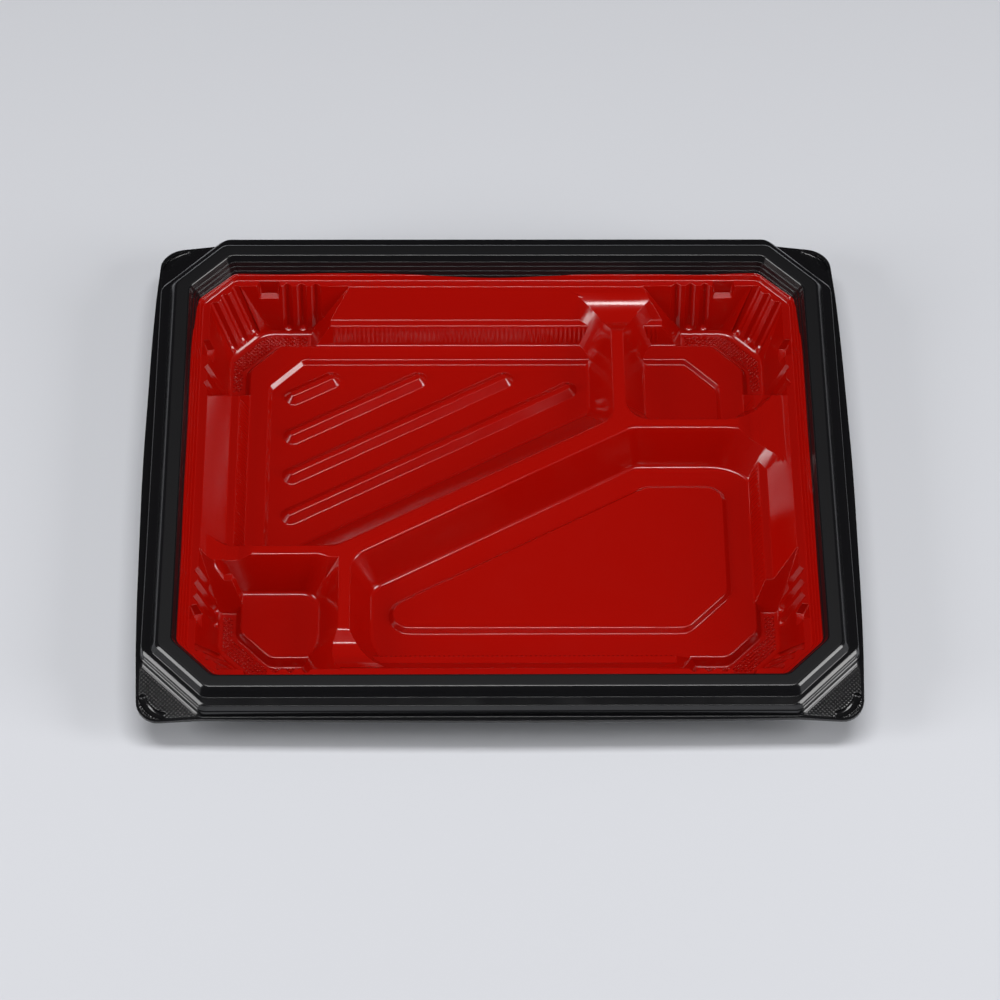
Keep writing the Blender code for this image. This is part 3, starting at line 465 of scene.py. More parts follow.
def block_profile(run, rise, base, radii, grow, turn_step):
    """Side profile of a raised shape that stands on a level base."""
    points = [(-run - SPARE, base + rise), (-run, base + rise), (0.0, base), (SPARE, base)]
    profile = eased(points, radii, -grow, turn_step)[1:-1]
    return profile + [(profile[-1][0], FOOT_Z - BLOCK_DEPTH)]


def plateau(grow, turn_step, steps):
    """The raised panel of the front right compartment."""
    radii = [PLATEAU_ROUND, PLATEAU_ROUND]
    profile = block_profile(PLATEAU_RUN, PLATEAU_RISE, FLOOR_Z, radii, grow, turn_step)
    return walls(PLATEAU, profile, steps)


print("the plateau rises by, in mm:", round(PLATEAU_RISE / MM, 1))

# %% [markdown]
# Four parallel ridges at the rear left keep rice off the wet floor. They run along the slanted
# divider, start on one line at the left and stop on another at the rear.

# %% The ridges
RIDGE_COUNT = 4
RIDGE_START_X = -71.0
RIDGE_FIRST_Y = 43.6
RIDGE_PITCH = 16.8
RIDGE_END_X = 24.7 * MM
RIDGE_REAR_Y = 50.7 * MM
RIDGE_RISE = 2.2 * MM
RIDGE_TOP = 0.9 * MM
RIDGE_FOOT = 3.5 * MM
RIDGE_ROUNDS = [0.7 * MM, 0.8 * MM]
END_ROUND_SHARE = 0.98


def ridges(grow, turn_step, steps):
    """Four ridges with round ends, which stop on one line."""
    slope = math.tan(DIAGONAL_ANGLE)
    profile = block_profile(RIDGE_FOOT - RIDGE_TOP, RIDGE_RISE, PANEL_Z, RIDGE_ROUNDS, grow, turn_step)
    made = []
    for index in range(RIDGE_COUNT):
        start = Vector((RIDGE_START_X * MM, (RIDGE_FIRST_Y - RIDGE_PITCH * index) * MM))
        reach = min(RIDGE_END_X, start.x + (RIDGE_REAR_Y - start.y) / slope)
        end = Vector((reach, start.y + (reach - start.x) * slope))
        along = (end - start).normalized()
        middle = (start + end) / 2.0
        half = (end - start).length / 2.0
        levels = []
        for out, height in profile:
            radius = RIDGE_FOOT + out
            across = Vector((-along.y, along.x)) * radius
            tip = along * (half + radius)
            corners = [middle + tip + across, middle - tip + across,
                       middle - tip - across, middle + tip - across]
            levels.append(([tuple(point) for point in corners], [radius * END_ROUND_SHARE] * 4, height))
        made.append(loft(levels, steps))
    return made


print("ridges:", RIDGE_COUNT, "with a pitch in mm of", RIDGE_PITCH)

# %% [markdown]
# The four corners drop below the floor and carry the tray, so it stands on four feet. Their outer
# walls are fluted, which keeps the deep corners stiff. Each flute is a tapering groove that is
# wider at its mouth and is rounded off a little above the foot.

# %% The flutes of the corner bays
BAY_LEDGE_OUT = -7.15 * MM
WALL_DRAFT = 6.35 / 19.1
CUT_DRAFT = 10.5 / 19.1
DIAGONAL_WALL = (HALF_LENGTH + HALF_WIDTH - CORNER_CUT) / math.sqrt(2.0)
MID_CUT = (HALF_WIDTH - HALF_LENGTH) / math.sqrt(2.0)
FLUTE_DEPTH = 1.25 * MM
FLUTE_PITCH = 5.05 * MM
FLUTE_MOUTH = 1.75 * MM
FLUTE_BACK = 0.45 * MM
FLUTE_FRONT = 0.3 * MM
FLUTE_SINK = 0.1 * MM
FLUTE_ROUND = 0.35 * MM
FLUTE_TOP_Z = LEDGE_Z + 1.4 * MM
FLUTE_END_Z = FOOT_Z + 1.1 * MM
FLUTE_LEVELS = ((FLUTE_TOP_Z, 1.0), (FLUTE_END_Z + 1.6 * MM, 1.0), (FLUTE_END_Z + 0.9 * MM, 0.86),
                (FLUTE_END_Z + 0.35 * MM, 0.55), (FLUTE_END_Z, 0.0))


def wall_corner(angle, out, along):
    """A plan point beside a wall that faces an angle."""
    return (math.cos(angle) * out - math.sin(angle) * along, math.sin(angle) * out + math.cos(angle) * along)


def flute(angle, reach, draft, centre, grow, steps):
    """One groove down a bay's wall, rounded off above the foot."""
    levels = []
    for height, share in FLUTE_LEVELS:
        level = height - grow if height < LEDGE_Z else height
        wall = reach + (level - LEDGE_Z) * draft + grow * math.hypot(1.0, draft)
        back = wall + FLUTE_DEPTH * share - FLUTE_SINK * (1.0 - share)
        front = wall - FLUTE_FRONT
        spread = (FLUTE_MOUTH - FLUTE_BACK) / FLUTE_DEPTH
        narrow = FLUTE_BACK + grow * 0.5
        wide = narrow + spread * (back - front)
        plan = [(front, -wide), (back, -narrow), (back, narrow), (front, wide)]
        corners = [wall_corner(angle, out, centre + along) for out, along in plan]
        levels.append((corners, [0.0, FLUTE_ROUND, FLUTE_ROUND, 0.0], level))
    return loft(levels, steps)


print("a flute runs, in mm, from", round(FLUTE_TOP_Z / MM, 1), "to", round(FLUTE_END_Z / MM, 1))

# %% [markdown]
# Each bay also has two square lugs cut into the ledge, where a stacked tray locks. The long sides,
# the short sides and the cut corners each have their own number and pitch of flutes, so the places
# are written down side by side.

# %% The lugs, and every flute's place
LUG_Z = -13.4 * MM
LUG_SHELF_OUT = -6.3 * MM
LUG_DRAFT = 0.28
LUG_ROUND = 0.5 * MM
LUG_FLARE = 0.8 * MM
LUG_TAPER = 0.12
LUG_INSET = 0.65 * MM
LONG_FLUTES, LONG_LUG = (63.6, 68.65, 73.7), (80.15, 3.65)
REAR_END_FLUTES, REAR_END_LUG = (36.6, 43.2), (52.0, 3.2)
FRONT_END_FLUTES, FRONT_END_LUG = (40.6, 45.9, 51.1), (57.0, 2.8)


def lug(angle, rim_reach, wall_reach, draft, centre, half, grow, steps):
    """One square recess in the ledge, with a steep back and a small shelf."""
    levels = []
    for height in (LEDGE_Z + 1.0 * MM, LUG_Z - grow):
        rise = height - LUG_Z
        back = rim_reach + LUG_SHELF_OUT + rise * LUG_DRAFT + grow
        front = wall_reach + (height - LEDGE_Z) * draft - 2.0 * MM
        narrow = half - LUG_INSET + rise * LUG_TAPER + grow
        plan = [(front, -narrow - LUG_FLARE), (back, -narrow), (back, narrow), (front, narrow + LUG_FLARE)]
        corners = [wall_corner(angle, out, centre + along) for out, along in plan]
        levels.append((corners, [0.0, LUG_ROUND, LUG_ROUND, 0.0], height))
    return loft(levels, steps)


def fluting(grow, steps):
    """Every groove and every lug of the four bays, as two lists."""
    cutters, lugs = [], []
    for side in (-1.0, 1.0):
        for angle in (NORTH, SOUTH):
            wall = HALF_WIDTH + BAY_LEDGE_OUT
            hand = side * (-1.0 if angle == NORTH else 1.0)
            for along in LONG_FLUTES:
                cutters.append(flute(angle, wall, WALL_DRAFT, hand * along * MM, grow, steps))
            lug_at, half = LONG_LUG
            lugs.append(lug(angle, HALF_WIDTH, wall, WALL_DRAFT, hand * lug_at * MM, half * MM, grow, steps))
        for angle in (EAST, WEST):
            wall = HALF_LENGTH + BAY_LEDGE_OUT
            hand = side * (1.0 if angle == EAST else -1.0)
            grooves, (lug_at, half) = REAR_END_FLUTES, REAR_END_LUG
            if side < 0.0:
                grooves, (lug_at, half) = FRONT_END_FLUTES, FRONT_END_LUG
            for along in grooves:
                cutters.append(flute(angle, wall, WALL_DRAFT, hand * along * MM, grow, steps))
            lugs.append(lug(angle, HALF_LENGTH, wall, WALL_DRAFT, hand * lug_at * MM, half * MM, grow, steps))
    for quarter in range(4):
        angle = EIGHTH + quarter * NORTH
        middle = MID_CUT if quarter % 2 == 0 else -MID_CUT
        for index in (-1, 0, 1):
            centre = middle + index * FLUTE_PITCH
            cutters.append(flute(angle, DIAGONAL_WALL + BAY_LEDGE_OUT, CUT_DRAFT, centre, grow, steps))
    return cutters, lugs


trial = fluting(0.0, 3)
print("flutes and lugs:", [len(cutters) for cutters in trial])
for cutter in trial[0] + trial[1]:
    cutter.free()

# %% [markdown]
# Between two bays the outer wall keeps a solid middle, whose slanted ends close the bays like
# cheeks. A bay is the deep hollow under all eight sides, with the flutes and lugs joined to it, and
# with the cheeks and the core of the floor taken away again.

# %% The cheeks and the corner bays
CHEEK_X = 51.7 * MM
CHEEK_Y = 31.4 * MM
CHEEK_DRAFT = 0.74
CHEEK_ROUND = 0.7 * MM
CORE_X = 86.6 * MM
CORE_Y = 64.8 * MM
CORE_CUT = (CORE_X + CORE_Y - 10.4 * MM) / math.sqrt(2.0)
CORE_CORNER = 4.0 * MM
CORE_ROUND = 0.45 * MM
CORE_SLANT = 0.6
BAY_ROUND = 1.9 * MM
BAY_CORNER = 2.5 * MM
BAY_FOLLOW = -0.75
BAY_SPARE = 5.0 * MM


def cheeks(along_x, grow, turn_step, steps):
    """The solid middle of the outer wall between two bays."""
    half = CHEEK_X if along_x else CHEEK_Y
    top = LEDGE_Z + SPARE
    foot = (LEDGE_Z - FOOT_Z) * CHEEK_DRAFT
    points = [(-2.0 * SPARE, top), ((LEDGE_Z - top) * CHEEK_DRAFT, top), (foot, FOOT_Z),
              (foot + SPARE, FOOT_Z)]
    profile = eased(points, [0.0, CHEEK_ROUND], -grow, turn_step)[1:-1]
    profile.append((profile[-1][0], FOOT_Z - BLOCK_DEPTH))
    levels = []
    for out, height in profile:
        x_reach, y_reach = (half + out, FAR) if along_x else (FAR, half + out)
        sides = [(EAST, x_reach), (NORTH, y_reach), (WEST, x_reach), (SOUTH, y_reach)]
        levels.append((crossings(sides), [0.0] * 4, height))
    return solid(loft(levels, steps))


def bays(grow, turn_step, steps):
    """The four corner bays with their fluted walls and the troughs at their feet."""
    wall_x = HALF_LENGTH + BAY_LEDGE_OUT
    wall_y = HALF_WIDTH + BAY_LEDGE_OUT
    wall_cut = DIAGONAL_WALL + BAY_LEDGE_OUT
    lean = CUT_DRAFT - WALL_DRAFT
    sides = []
    for index in range(8):
        reach = (wall_x, wall_cut, wall_y, wall_cut)[index % 4]
        sides.append((index * EIGHTH, reach, BAY_CORNER, lean if index % 2 else 0.0))
    foot = (FOOT_Z - LEDGE_Z) * WALL_DRAFT
    points = [(CLEAR * WALL_DRAFT, LEDGE_Z + CLEAR), (foot, FOOT_Z), (foot - BAY_SPARE, FOOT_Z)]
    profile = eased(points, [BAY_ROUND], grow, turn_step)[:-1]
    made = solid(walls(sides, profile, steps, LEDGE_Z, BAY_FOLLOW))
    for cutters in fluting(grow, 3):
        made = combine(made, solid(*cutters), "UNION")
    made = combine(made, cheeks(True, grow, turn_step, steps), "DIFFERENCE")
    made = combine(made, cheeks(False, grow, turn_step, steps), "DIFFERENCE")
    reaches = (CORE_X, CORE_CUT, CORE_Y, CORE_CUT)
    core = [(index * EIGHTH, reaches[index % 4], CORE_CORNER, 0.0) for index in range(8)]
    step = block_profile(0.0, FLOOR_Z - FOOT_Z, FOOT_Z, [CORE_ROUND, CORE_ROUND], grow, turn_step)
    slant = [(out + (FLOOR_Z - height) * CORE_SLANT, height) for out, height in step]
    return combine(made, solid(walls(core, slant, steps)), "DIFFERENCE")


print("the feet stand below the floor by, in mm:", round((FLOOR_Z - FOOT_Z) / MM, 1))

# %% [markdown]
# Where the walls run straight between the bays, their lowest flight is pleated: fine upright ribs
# that stiffen the sheet and catch the light as a row of hairlines. One comb makes a whole row. It
# is a grid bent into waves, given some depth behind the wall, and taken away from the hollow.

# %% The pleats
PLEAT_PITCH = 1.6 * MM
PLEAT_DEPTH = 0.42 * MM
PLEAT_LEAST = 0.02 * MM
PLEAT_STEPS = 6
PLEAT_SLOPE = 3.3 / 6.8
PLEAT_ROWS = ((MID_Z - 0.45 * MM, 0.0), (MID_Z - 1.1 * MM, 1.0), (MID_Z - 3.6 * MM, 0.75),
              (FLOOR_Z + 0.9 * MM, 0.0))
PLEAT_BACK = 1.0 * MM
LONG_PLEATS = 57.6 * MM
END_PLEATS = 37.6 * MM


def comb(angle, reach, half):
    """One row of pleats on the lowest flight of a wall."""
    columns = round(2.0 * half / PLEAT_PITCH) * PLEAT_STEPS
    maker = bmesh.new()
    bmesh.ops.create_grid(maker, x_segments=columns, y_segments=len(PLEAT_ROWS) - 1, size=0.5)
    for vert in maker.verts:
        column = round((vert.co.x + 0.5) * columns)
        height, share = PLEAT_ROWS[round((vert.co.y + 0.5) * (len(PLEAT_ROWS) - 1))]
        wave = 0.5 - 0.5 * math.cos(2.0 * math.pi * column / PLEAT_STEPS)
        out = reach + MID_IN + (height - MID_Z) * PLEAT_SLOPE - PLEAT_LEAST - PLEAT_DEPTH * share * wave
        vert.co = (*wall_corner(angle, out, half * (2.0 * column / columns - 1.0)), height)
    pulled = bmesh.ops.extrude_face_region(maker, geom=maker.faces[:])["geom"]
    back = [item for item in pulled if isinstance(item, bmesh.types.BMVert)]
    bmesh.ops.translate(maker, verts=back, vec=(*wall_corner(angle, PLEAT_BACK, 0.0), 0.0))
    bmesh.ops.recalc_face_normals(maker, faces=maker.faces)
    return maker


def pleats():
    """The four rows of pleats."""
    rows = ((NORTH, HALF_WIDTH, LONG_PLEATS), (SOUTH, HALF_WIDTH, LONG_PLEATS),
            (EAST, HALF_LENGTH, END_PLEATS), (WEST, HALF_LENGTH, END_PLEATS))
    return [comb(*row) for row in rows]


print("pleats on a long wall:", round(2.0 * LONG_PLEATS / PLEAT_PITCH))

# %% [markdown]
# The troughs at the foot of the bays have a skid pattern of small raised diamonds. Each is a
# four-sided cone with its tip cut off, six faces in all, so hundreds of them stay cheap.

# %% The diamonds in the troughs
DIAMOND_PITCH = 1.55 * MM
DIAMOND_RADIUS = 0.64 * MM
DIAMOND_TIP = 0.28 * MM
DIAMOND_RISE = 0.5 * MM
DIAMOND_ROOT = 0.15 * MM
TROUGH_OUTER = BAY_ROUND * 0.75
TROUGH_INNER = 2.6 * MM
TROUGH_END = 1.0 * MM


def in_trough(x, y):
    """Whether a diamond at this place lies wholly on the level floor of a trough."""
    drop = LEDGE_Z - FOOT_Z
    reaches = (HALF_LENGTH + BAY_LEDGE_OUT - drop * WALL_DRAFT,
               DIAGONAL_WALL + BAY_LEDGE_OUT - drop * CUT_DRAFT,
               HALF_WIDTH + BAY_LEDGE_OUT - drop * WALL_DRAFT)
    cores = (CORE_X, CORE_CUT, CORE_Y)
    spans = (x, (x + y) / math.sqrt(2.0), y)
    inside = all(span < reach - TROUGH_OUTER for span, reach in zip(spans, reaches))
    outside = any(span > core + TROUGH_INNER for span, core in zip(spans, cores))
    clear_x = x > CHEEK_X + drop * CHEEK_DRAFT + TROUGH_END
    clear_y = y > CHEEK_Y + drop * CHEEK_DRAFT + TROUGH_END
    return inside and outside and clear_x and clear_y


def diamonds():
    """The raised diamonds of all four troughs."""
    maker = bmesh.new()
    count = round(HALF_LENGTH / DIAMOND_PITCH)
    depth = DIAMOND_RISE + DIAMOND_ROOT
    middle = FOOT_Z + (DIAMOND_RISE - DIAMOND_ROOT) / 2.0
    for row in range(2 * count):
        for column in range(count):
            x = (column + 0.5 * (row % 2)) * DIAMOND_PITCH
            y = row * DIAMOND_PITCH * 0.5
            if not in_trough(x, y):
                continue
            for side_x in (-1.0, 1.0):
                for side_y in (-1.0, 1.0):
                    place = Matrix.Translation((side_x * x, side_y * y, middle))
                    bmesh.ops.create_cone(maker, cap_ends=True, segments=4, depth=depth,
                                          radius1=DIAMOND_RADIUS, radius2=DIAMOND_TIP, matrix=place)
    return maker


pattern = diamonds()
print("diamonds in the troughs:", len(pattern.verts) // 8)
pattern.free()

# %% [markdown]
# Now the whole hollow, in the order in which a mould would be cut: the compartments and their
# floors, the space above, the outer wall, the bays, and last the shapes that stand on the floors.

# %% The whole hollow
HOLLOW_STEPS = 8


def hollow(grow=0.0, detail=False):
    """The inside of the tray as a solid, grown outward by a distance."""
    how = (grow, FINE_TURN, HOLLOW_STEPS)
    made = solid(pocket(LARGE, PANEL_Z, *how), pocket(REAR_RIGHT, PANEL_Z, *how))
    made = combine(made, floor_block(*how), "DIFFERENCE")
    front = solid(pocket(FRONT_LEFT, FLOOR_Z, *how), pocket(FRONT_RIGHT, FLOOR_Z, *how))
    made = combine(made, front, "UNION")
    made = combine(made, top_space(*how), "UNION")
    made = combine(made, bowl(*how), "INTERSECT")
    if detail:
        made = combine(made, solid(*pleats()), "DIFFERENCE")
    made = combine(made, bays(*how), "UNION")
    made = combine(made, solid(plateau(*how), *ridges(*how)), "DIFFERENCE")
    if detail:
        made = combine(made, solid(diamonds()), "DIFFERENCE")
    return made


food_space = hollow(detail=True)
print("faces of the hollow:", len(food_space.data.polygons))

# %% [markdown]
# The film was laid on the flat sheet before it was drawn, and it stretched unevenly. Its upper edge
# therefore wanders: it lies high on the ribbed wall at the front and sides, drops through the rear
# corners, and sags in the middle of the rear wall and beside its corners. The ground below that
# edge is a grid whose points follow a height formula, pulled down into a block.

# %% The film's wandering edge
SIDE_EDGE = -3.0 * MM
SIDE_TILT = -0.25 * MM
REAR_EDGE = -6.1 * MM
EDGE_BEND_START = 44.0 * MM
EDGE_BEND_RUN = 40.0 * MM
EDGE_SAGS = ((-75.0 * MM, 11.0 * MM, 0.5 * MM), (0.0, 24.0 * MM, 1.6 * MM),
             (73.0 * MM, 11.0 * MM, 0.4 * MM))
EDGE_WANDER = 0.14 * MM
WAVE_ALONG_X = 13.0 * MM
WAVE_ALONG_Y = 9.0 * MM
WAVE_DRIFT = 31.0 * MM
WAVE_START = 0.7
EDGE_GRID = (72, 56)
GRID_MARGIN = 1.1
GROUND_Z = FOOT_Z - 10.0 * MM


def edge_height(x, y):
    """Height of the film's upper edge above a plan point."""
    share = min(max((y - EDGE_BEND_START) / EDGE_BEND_RUN, 0.0), 1.0)
    share = share * share * (3.0 - 2.0 * share)
    sag = sum(drop * math.exp(-((x - middle) / spread) ** 2) for middle, spread, drop in EDGE_SAGS)
    wander = math.sin(x / WAVE_ALONG_X + WAVE_START) + math.sin(y / WAVE_ALONG_Y + x / WAVE_DRIFT)
    side = SIDE_EDGE + SIDE_TILT * x / HALF_LENGTH
    return side + (REAR_EDGE - side - sag) * share + EDGE_WANDER * wander


def below_edge(clearance, mark=None):
    """Everything lower than the film's edge."""
    maker = bmesh.new()
    bmesh.ops.create_grid(maker, x_segments=EDGE_GRID[0], y_segments=EDGE_GRID[1], size=1.0)
    size = (HALF_LENGTH * GRID_MARGIN, HALF_WIDTH * GRID_MARGIN, 1.0)
    bmesh.ops.scale(maker, vec=size, verts=maker.verts)
    for vert in maker.verts:
        vert.co.z = edge_height(vert.co.x, vert.co.y) + clearance
    pulled = bmesh.ops.extrude_face_region(maker, geom=maker.faces[:])["geom"]
    for item in pulled:
        if isinstance(item, bmesh.types.BMVert):
            item.co.z = GROUND_Z
    bmesh.ops.recalc_face_normals(maker, faces=maker.faces)
    made = solid(maker)
    if mark:
        made.data.materials.append(mark)
    return made


print("film edge at the rear, in mm:", round(edge_height(0.0, HALF_WIDTH) / MM, 2))

# %% [markdown]
# The film itself is the skin of the hollow below that edge. The block is given a marker material
# before the Boolean, so that the cut it leaves can be told from the skin and deleted. What stays is
# an open sheet, and the Solidify modifier gives it its quarter of a millimetre, away from the food.

# %% The film
MERGE_GAP = 0.003 * MM
LEAST_EDGE = 0.002 * MM


def copy_of(made):
    """A second object with its own mesh."""
    twin = bpy.data.objects.new("solid", made.data.copy())
    bpy.context.scene.collection.objects.link(twin)
    return twin


def clean(made):
    """Merge stray points and drop faces without area."""
    maker = bmesh.new()
    maker.from_mesh(made.data)
    bmesh.ops.remove_doubles(maker, verts=maker.verts, dist=MERGE_GAP)
    bmesh.ops.dissolve_degenerate(maker, edges=maker.edges, dist=LEAST_EDGE)
    maker.to_mesh(made.data)
    maker.free()
    return made


def film_skin():
    """The hollow's skin below the film's edge."""
    mark = bpy.data.materials.new("cut")
    skin = copy_of(food_space)
    skin.data.materials.append(bpy.data.materials.new("kept"))
    skin = combine(skin, below_edge(0.0, mark), "INTERSECT", "TRANSFER")
    index = [slot.name for slot in skin.data.materials].index(mark.name)
    maker = bmesh.new()
    maker.from_mesh(skin.data)
    cut = [face for face in maker.faces if face.material_index == index]
    bmesh.ops.delete(maker, geom=cut, context="FACES")
    maker.to_mesh(skin.data)
    maker.free()
    return clean(skin)


film = film_skin()
print("faces of the film's skin:", len(film.data.polygons))

# %% [markdown]
# The rim folds over into a skirt with two steps. On the cut corners every step also has a bevel,
# which catches a band of light. There the skirt is set back by an amount that changes with the
# height, and one table says how much.

# %% The skirt
FLANGE_Z = -9.0 * MM
SKIRT_FOOT = 10.4 * MM
SKIRT = [(-1.0 * MM, 0.0), (4.4 * MM, 0.0), (5.25 * MM, -0.75 * MM), (6.75 * MM, -3.0 * MM),
         (9.85 * MM, -3.4 * MM), (9.93 * MM, -4.2 * MM), (9.98 * MM, -5.2 * MM), (10.02 * MM, -5.75 * MM),
         (10.05 * MM, -6.0 * MM), (10.35 * MM, -6.3 * MM), (10.38 * MM, -8.3 * MM), (SKIRT_FOOT, FLANGE_Z),
         (12.0 * MM, FLANGE_Z)]
SKIRT_RADII = [1.6 * MM, 1.3 * MM, 0.2 * MM, 0.2 * MM, 0.0, 0.0, 0.0, 0.12 * MM, 0.12 * MM, 0.0, 0.35 * MM]
CORNER_SETBACKS = ((-9.0 * MM, 0.0), (-8.65 * MM, 0.0), (-8.3 * MM, 0.5 * MM), (-5.75 * MM, 0.5 * MM),
                   (-5.2 * MM, 0.95 * MM), (-4.2 * MM, 0.95 * MM), (-3.4 * MM, 1.7 * MM), (-3.0 * MM, 0.0),
                   (0.0, 0.0))


def corner_setback(height):
    """How far the skirt's cut corners are set back at a height, which chamfers their steps."""
    for (low, first), (high, last) in zip(CORNER_SETBACKS, CORNER_SETBACKS[1:]):
        if low <= height <= high:
            return first + (last - first) * (height - low) / (high - low)
    return 0.0


print("points of the skirt's profile:", len(SKIRT), "sharp,", len(eased(SKIRT, SKIRT_RADII)), "rounded")

# %% [markdown]
# The skirt ends in a narrow flange, which widens into a tab at each corner, where a thumb lifts the
# lid. Heat has left its sides slightly bowed and its tabs drooping, which is what makes a formed
# tray look like one. Each bowed side is a few tangents of one shallow arc.

# %% The flange and its tabs
LIP = 0.6 * MM
TAB_REACH_X = 118.9 * MM
TAB_REACH_Y = 97.3 * MM
END_BOW = 1.85 * MM
SIDE_BOW = 1.1 * MM
FLANGE_RADIUS = 8.0 * MM
FLANGE_STEPS = 8
BOW_SIDES = 4
TAB_FALL = 0.2
ROOT_CUT = CORNER_CUT + SKIRT_FOOT * (2.0 - math.sqrt(2.0))
TAB_ROOT = (HALF_LENGTH + HALF_WIDTH + 2.0 * SKIRT_FOOT - ROOT_CUT) / 2.0
CUT_SLACK = 0.001 * MM


def bowed_sides():
    """The flange's outline as tangents to four shallow arcs."""
    sides, radii = [], []
    for middle in (EAST, NORTH, WEST, SOUTH):
        reach, span, bow = TAB_REACH_X, TAB_REACH_Y - FLANGE_RADIUS, END_BOW
        if middle in (NORTH, SOUTH):
            reach, span, bow = TAB_REACH_Y, TAB_REACH_X - FLANGE_RADIUS, SIDE_BOW
        lean = 2.0 * math.atan(bow / span)
        arc = span / math.sin(lean)
        for index in range(BOW_SIDES):
            turn = lean * (2.0 * index / (BOW_SIDES - 1) - 1.0)
            sides.append((middle + turn, (reach - arc * math.cos(lean)) * math.cos(turn) + arc))
            radii.append(FLANGE_RADIUS if index == BOW_SIDES - 1 else arc / 2.0)
    return sides, radii


def tab_height(x, y):
    """Height of the flange's top, which falls outward at the tabs."""
    past = (abs(x) + abs(y)) / math.sqrt(2.0) - TAB_ROOT * math.sqrt(2.0)
    return FLANGE_Z - TAB_FALL * max(past, 0.0)


def flange_block(margin, lower):
    """Everything under the flange's outline, up to its top moved down by a distance."""
    sides, radii = bowed_sides()
    corners = crossings([(angle, reach - margin) for angle, reach in sides])
    radii = [radius - margin for radius in radii]
    top = FLANGE_Z - lower
    maker = loft([(corners, radii, top), (corners, radii, FOOT_Z)], FLANGE_STEPS)
    for side_x in (-1.0, 1.0):
        for side_y in (-1.0, 1.0):
            slope = TAB_FALL / math.sqrt(2.0)
            everything = maker.verts[:] + maker.edges[:] + maker.faces[:]
            bmesh.ops.bisect_plane(maker, geom=everything, dist=CUT_SLACK,
                                   plane_co=(side_x * TAB_ROOT, side_y * TAB_ROOT, top),
                                   plane_no=(side_x * slope, side_y * slope, 1.0), clear_outer=True)
            bmesh.ops.contextual_create(maker, geom=[edge for edge in maker.edges if edge.is_boundary])
    bmesh.ops.recalc_face_normals(maker, faces=maker.faces)
    return solid(maker)


flange_size = (TAB_REACH_X + END_BOW, TAB_REACH_Y + SIDE_BOW)
print("flange in mm:", [round(2.0 * reach / MM, 1) for reach in flange_size])

# %% [markdown]
# The top of each tab is knurled for grip. Poke raises the middle of every face of a grid, which
# makes a field of small pyramids in one step. The field is turned to stand on its corners, cut to
# the tab's outline with bisect_plane, laid on the drooping tab and joined with it.

# %% The knurled tabs
KNURL_PITCH = 1.05 * MM
KNURL_RISE = 0.23 * MM
KNURL_FIELD = 15.0 * MM
KNURL_MARGIN = 0.9 * MM
KNURL_ROOT = 0.3 * MM
KNURL_LIFT = 0.01 * MM
KNURL_INSET = 8.0 * MM
KNURL_CUTS = 7
TAB_GAP = 0.5 * MM


def knurl(side_x, side_y):
    """The field of pyramids on one tab."""
    middle_x = side_x * (TAB_REACH_X - KNURL_INSET)
    middle_y = side_y * (TAB_REACH_Y - KNURL_INSET)
    maker = bmesh.new()
    cells = round(2.0 * KNURL_FIELD / KNURL_PITCH)
    bmesh.ops.create_grid(maker, x_segments=cells, y_segments=cells, size=KNURL_FIELD)
    bmesh.ops.poke(maker, faces=maker.faces[:], offset=KNURL_RISE)
    bmesh.ops.rotate(maker, verts=maker.verts, cent=(0, 0, 0), matrix=Matrix.Rotation(EIGHTH, 3, "Z"))
    bmesh.ops.translate(maker, verts=maker.verts, vec=(middle_x, middle_y, KNURL_LIFT))
    root = TAB_ROOT + TAB_GAP
    planes = [((side_x * root, side_y * root), (-side_x, -side_y))]
    for step in range(KNURL_CUTS):
        angle = NORTH * step / (KNURL_CUTS - 1.0)
        normal = (side_x * math.cos(angle), side_y * math.sin(angle))
        arc = (side_x * (TAB_REACH_X - FLANGE_RADIUS), side_y * (TAB_REACH_Y - FLANGE_RADIUS))
        planes.append(((arc[0] + normal[0] * (FLANGE_RADIUS - KNURL_MARGIN),
                        arc[1] + normal[1] * (FLANGE_RADIUS - KNURL_MARGIN)), normal))
    for point, normal in planes:
        everything = maker.verts[:] + maker.edges[:] + maker.faces[:]
        bmesh.ops.bisect_plane(maker, geom=everything, dist=LEAST_EDGE,
                               plane_co=(*point, 0.0), plane_no=(*normal, 0.0), clear_outer=True)
    for vert in maker.verts:
        vert.co.z += tab_height(vert.co.x, vert.co.y)
    pulled = bmesh.ops.extrude_face_region(maker, geom=maker.faces[:])["geom"]
    for item in pulled:
        if isinstance(item, bmesh.types.BMVert):
            item.co.z = tab_height(item.co.x, item.co.y) - KNURL_ROOT
    bmesh.ops.recalc_face_normals(maker, faces=maker.faces)
    return maker


trial = knurl(1.0, 1.0)
print("faces of one knurled field:", len(trial.faces))
trial.free()

# %% [markdown]
# Each tab also has one sunk bead, a short groove bent round the corner, which keeps the tab from
# folding. Its plan is a bent bar with round ends. The groove is cut from above, and the same bar,
# a sheet's thickness larger all round, is first added below to carry it.

# %% The beads in the tabs
BEAD_RADIUS = 9.4 * MM
BEAD_HALF_ANGLE = math.radians(31.0)
BEAD_HALF_WIDTH = 1.35 * MM
BEAD_DEPTH = 1.1 * MM
BEAD_CENTRE = (107.6 * MM, 86.2 * MM)
BEAD_TOP = 0.6 * MM
BEAD_BASE = -0.1 * MM
BEAD_CARRY = 1.6
BEAD_SHARES = (0.4, 0.65, 0.85, 0.96)
BEND_STEPS = 12
END_STEPS = 8


